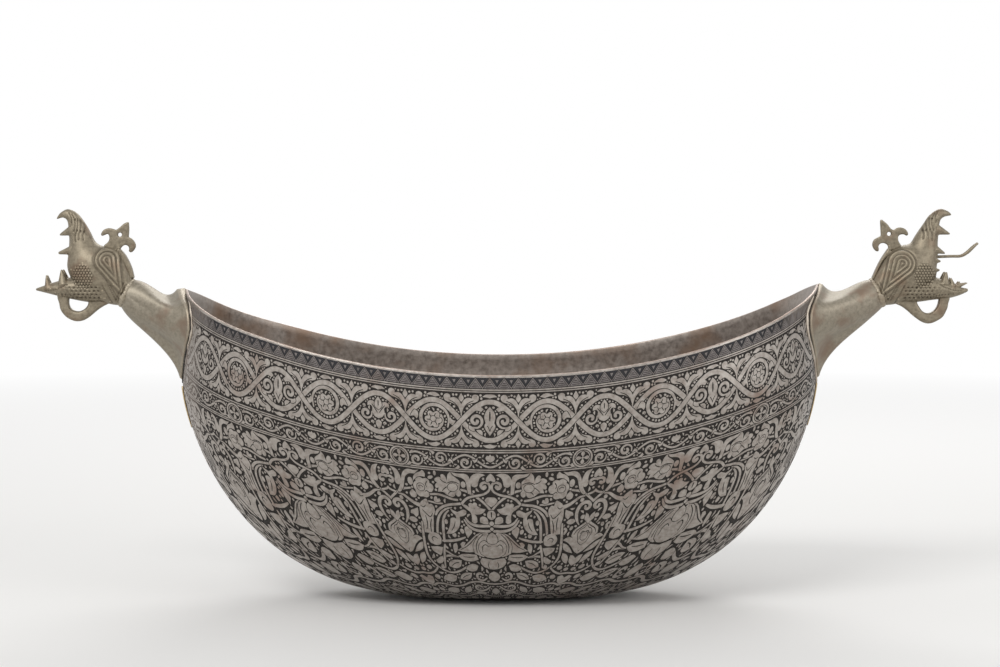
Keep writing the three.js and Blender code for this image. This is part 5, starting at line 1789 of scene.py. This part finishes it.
# %% The scroll with roundels, and the rim's zigzag
SCROLL_WIDTH = 58.1
WAVE = SCROLL_WIDTH / 3.7
SCROLL_MIDDLE = 53.1
SCROLL_SWING = 3.75
running_stem = [(x, SCROLL_MIDDLE + SCROLL_SWING * math.cos(math.pi * (x - SCROLL_WIDTH) / WAVE))
                for x in np.arange(7, 62, 2.6)]
SCROLL_MARKS = [
    (0, "stem", "-1,58.8 59,58.8", (0.75,)), (0, "stem", "-1,60.1 59,60.1", (0.65,)),
    # The roundel: a pit with two rings and three petals
    (1, "pit", 0, SCROLL_MIDDLE, 6.1, 6.1, 0, 24),
    (2, "stem", curl(0, SCROLL_MIDDLE, 5.7, -110, 220, 13, 1), (1.0,)),
    (2, "stem", curl(0, SCROLL_MIDDLE, 4.4, -110, 220, 13, 1), (0.5,)),
    (3, "form", "0,52.6 | 1.1,50.8 0.9,49.6 0,48.9 | -0.9,49.6 -1.1,50.8 0,52.6"),
    (3, "form", "0,53.6 | 1.1,55.4 0.9,56.6 0,57.3 | -0.9,56.6 -1.1,55.4 0,53.6"),
    (3, "form", "0.5,53.1 | 2.3,52 3.5,52.2 4.2,53.1 | 3.5,54 2.3,54.2 0.5,53.1"),
    (3, "bead", 0, SCROLL_MIDDLE, 0.7),
    (0, "stem", running_stem, (1.2,)),
    (1, "form", "58.1,53.6 | 56,52.6 55.2,50.8 56.2,49.2 | 57.2,49.6 58.1,48.5"
                " | 59,49.6 60,49.2 | 61,50.8 60.2,52.6 58.1,53.6"),
    (1, "form", "6.9,56.8 | 8.4,56.4 9.4,57.8"), (1, "form", "6.9,49.8 | 8.2,48.6 9.4,48.6"),
]
for order, middle in enumerate((SCROLL_WIDTH - WAVE, SCROLL_WIDTH - 2 * WAVE, SCROLL_WIDTH - 3 * WAVE)):
    hang = 1 if order % 2 == 0 else -1
    centre = SCROLL_MIDDLE + 1.15 * hang
    SCROLL_MARKS += [
        (1, "stem", curl(middle, centre, 4.0, -hang * 20, hang * 440, 12, 0.22),
         (0.6, 1.1, 1.45, 1.7, 1.6, 1.2)),
        (1, "form", placed("4.2,-2.4 | 6.2,-2 7.8,-3.6 | 7.4,-1.2 5.6,0", middle, centre, 1, hang)),
        (1, "form", placed("-3.6,3 | -5,4.4 -7.6,4 | -6,3.2 -4.8,1.6", middle, centre, 1, hang)),
    ]
SCROLL_MARKS += fillers(SCROLL_MARKS, SCROLL_WIDTH, 48.2, 58.2,
                        [("leaf", 1.0, 0.35), ("dot", 0.7, 0.4), ("dot", 0.45, 0.35)], 7)
# Each triangle is a plate of dulled metal with three strokes across it, and a bright line runs round it
rim_tin = tinned_copper("dulled_tin_of_the_rim", "#807a78", "#625d5c", "#6f6259", 0.4)
ZIGZAG_WIDTH = 4.375
ZIGZAG_MARKS = [
    (0, "stem", "-0.1,1.2 4.6,7.6", (0.5,)),
    (1, "form", "0,2.2 | 3.6,7.3 | -3.6,7.3 | 0,2.2"),
    (1, "cut", "-1,4.3 0.8,4.3", (0.3,)), (1, "cut", "-1,5.4 1.6,5.4", (0.3,)),
    (1, "cut", "-1,6.5 2.3,6.5", (0.3,)),
    (0, "form", "4.375,4.4 | 5.4,2.3 | 3.35,2.3 | 4.375,4.4"),
]
engraved_side(SCROLL_MARKS, "scroll_band_engraving", SCROLL_WIDTH, 9, 1, 0.0, SCROLL_WIDTH)
engraved_side(ZIGZAG_MARKS, "rim_zigzag_engraving", ZIGZAG_WIDTH, 128, 1, FIELD_STRETCH, 0.0,
              (rim_tin, rim_edge_black))

# %% [markdown]
# ## Floor, light and camera
#
# A plain pale floor and a white surround keep the look neutral. The surround is white for the camera
# and for reflections, and dimmer as a light, so that the metal shows white shapes without being
# washed out. One wide lamp above the camera's left models the forms, as a window would.

# %% The floor
FLOOR_FADE_START = 0.5
FLOOR_FADE_END = 2.2

floor_material, tree, shader = new_material("pale_floor")
shader.inputs["Base Color"].default_value = linear("#f4f3f1")
shader.inputs["Roughness"].default_value = 0.75
place = node(tree, "ShaderNodeTexCoord").outputs["Object"]
distance = node(tree, "ShaderNodeVectorMath", {"operation": "LENGTH"}, in0=place).outputs["Value"]
faded = between(tree, distance, FLOOR_FADE_START, FLOOR_FADE_END)
camera_ray = node(tree, "ShaderNodeLightPath").outputs["Is Camera Ray"]
share = node(tree, "ShaderNodeMath", {"operation": "MULTIPLY"}, in0=faded, in1=camera_ray).outputs["Value"]
glow = node(tree, "ShaderNodeEmission", Color=(1, 1, 1, 1), Strength=1.0)
mixed = node(tree, "ShaderNodeMixShader", in0=share, in1=shader.outputs["BSDF"], in2=glow.outputs["Emission"])
tree.links.new(mixed.outputs["Shader"], tree.nodes["Material Output"].inputs["Surface"])

bm = bmesh.new()
bmesh.ops.create_grid(bm, x_segments=1, y_segments=1, size=8)
floor = bpy.data.objects.new("floor", mesh_from(bm, "floor"))
bpy.context.scene.collection.objects.link(floor)
floor.data.materials.append(floor_material)
print("floor fades to white from", FLOOR_FADE_START, "to", FLOOR_FADE_END, "m")

# %% The surround
world = bpy.data.worlds.new("surround")
bpy.context.scene.world = world
world.use_nodes = True
sky = world.node_tree
background = sky.nodes["Background"]
paths = node(sky, "ShaderNodeLightPath")
white = paths.outputs["Is Camera Ray"]
for path in ("Is Glossy Ray", "Is Transmission Ray"):
    white = node(sky, "ShaderNodeMath", {"operation": "MAXIMUM"}, in0=white,
                 in1=paths.outputs[path]).outputs["Value"]
sky.links.new(between(sky, white, 0, 1, 0.5, 1.0), background.inputs["Strength"])
background.inputs["Color"].default_value = (1, 1, 1, 1)

# %% The lamps
def area_lamp(name, place, aim, size, power):
    """A soft lamp of a width and a height that shines at a point."""
    data = bpy.data.lights.new(name, "AREA")
    data.shape = "RECTANGLE"
    data.size, data.size_y = size
    data.energy = power
    lamp = bpy.data.objects.new(name, data)
    bpy.context.scene.collection.objects.link(lamp)
    lamp.location = place
    lamp.rotation_euler = (Vector(aim) - Vector(place)).to_track_quat("-Z", "Y").to_euler()
    return lamp


area_lamp("key", (-0.9, -1.6, 1.6), (0, 0, 0.1), (1.2, 0.8), 22)
area_lamp("fill", (1.6, -1.1, 0.8), (0, 0, 0.12), (0.8, 0.8), 6)
area_lamp("rim", (0.3, 1.4, 1.3), (0, 0, 0.15), (1.4, 0.5), 10)

# %% The camera, at the photograph's angle
CAMERA_DISTANCE = 1534 * MM
CAMERA_PITCH = math.radians(3)
AIM_HEIGHT = 171.6 * MM
AIM_X = -1.3 * MM
# The lens, from its focal length in pixels of a picture 1000 pixels wide
FOCAL_PIXELS = 2360
PICTURE_WIDTH = 1000
SENSOR_WIDTH = 36
camera = bpy.data.objects.new("camera", bpy.data.cameras.new("camera"))
bpy.context.scene.collection.objects.link(camera)
bpy.context.scene.camera = camera
camera.location = (AIM_X, -CAMERA_DISTANCE * math.cos(CAMERA_PITCH),
                   AIM_HEIGHT + CAMERA_DISTANCE * math.sin(CAMERA_PITCH))
camera.rotation_euler = (math.pi / 2 - CAMERA_PITCH, 0, 0)
camera.data.sensor_width = SENSOR_WIDTH
camera.data.lens = FOCAL_PIXELS / PICTURE_WIDTH * SENSOR_WIDTH
camera.data.clip_start = 0.05
bpy.context.scene.view_settings.view_transform = "Standard"
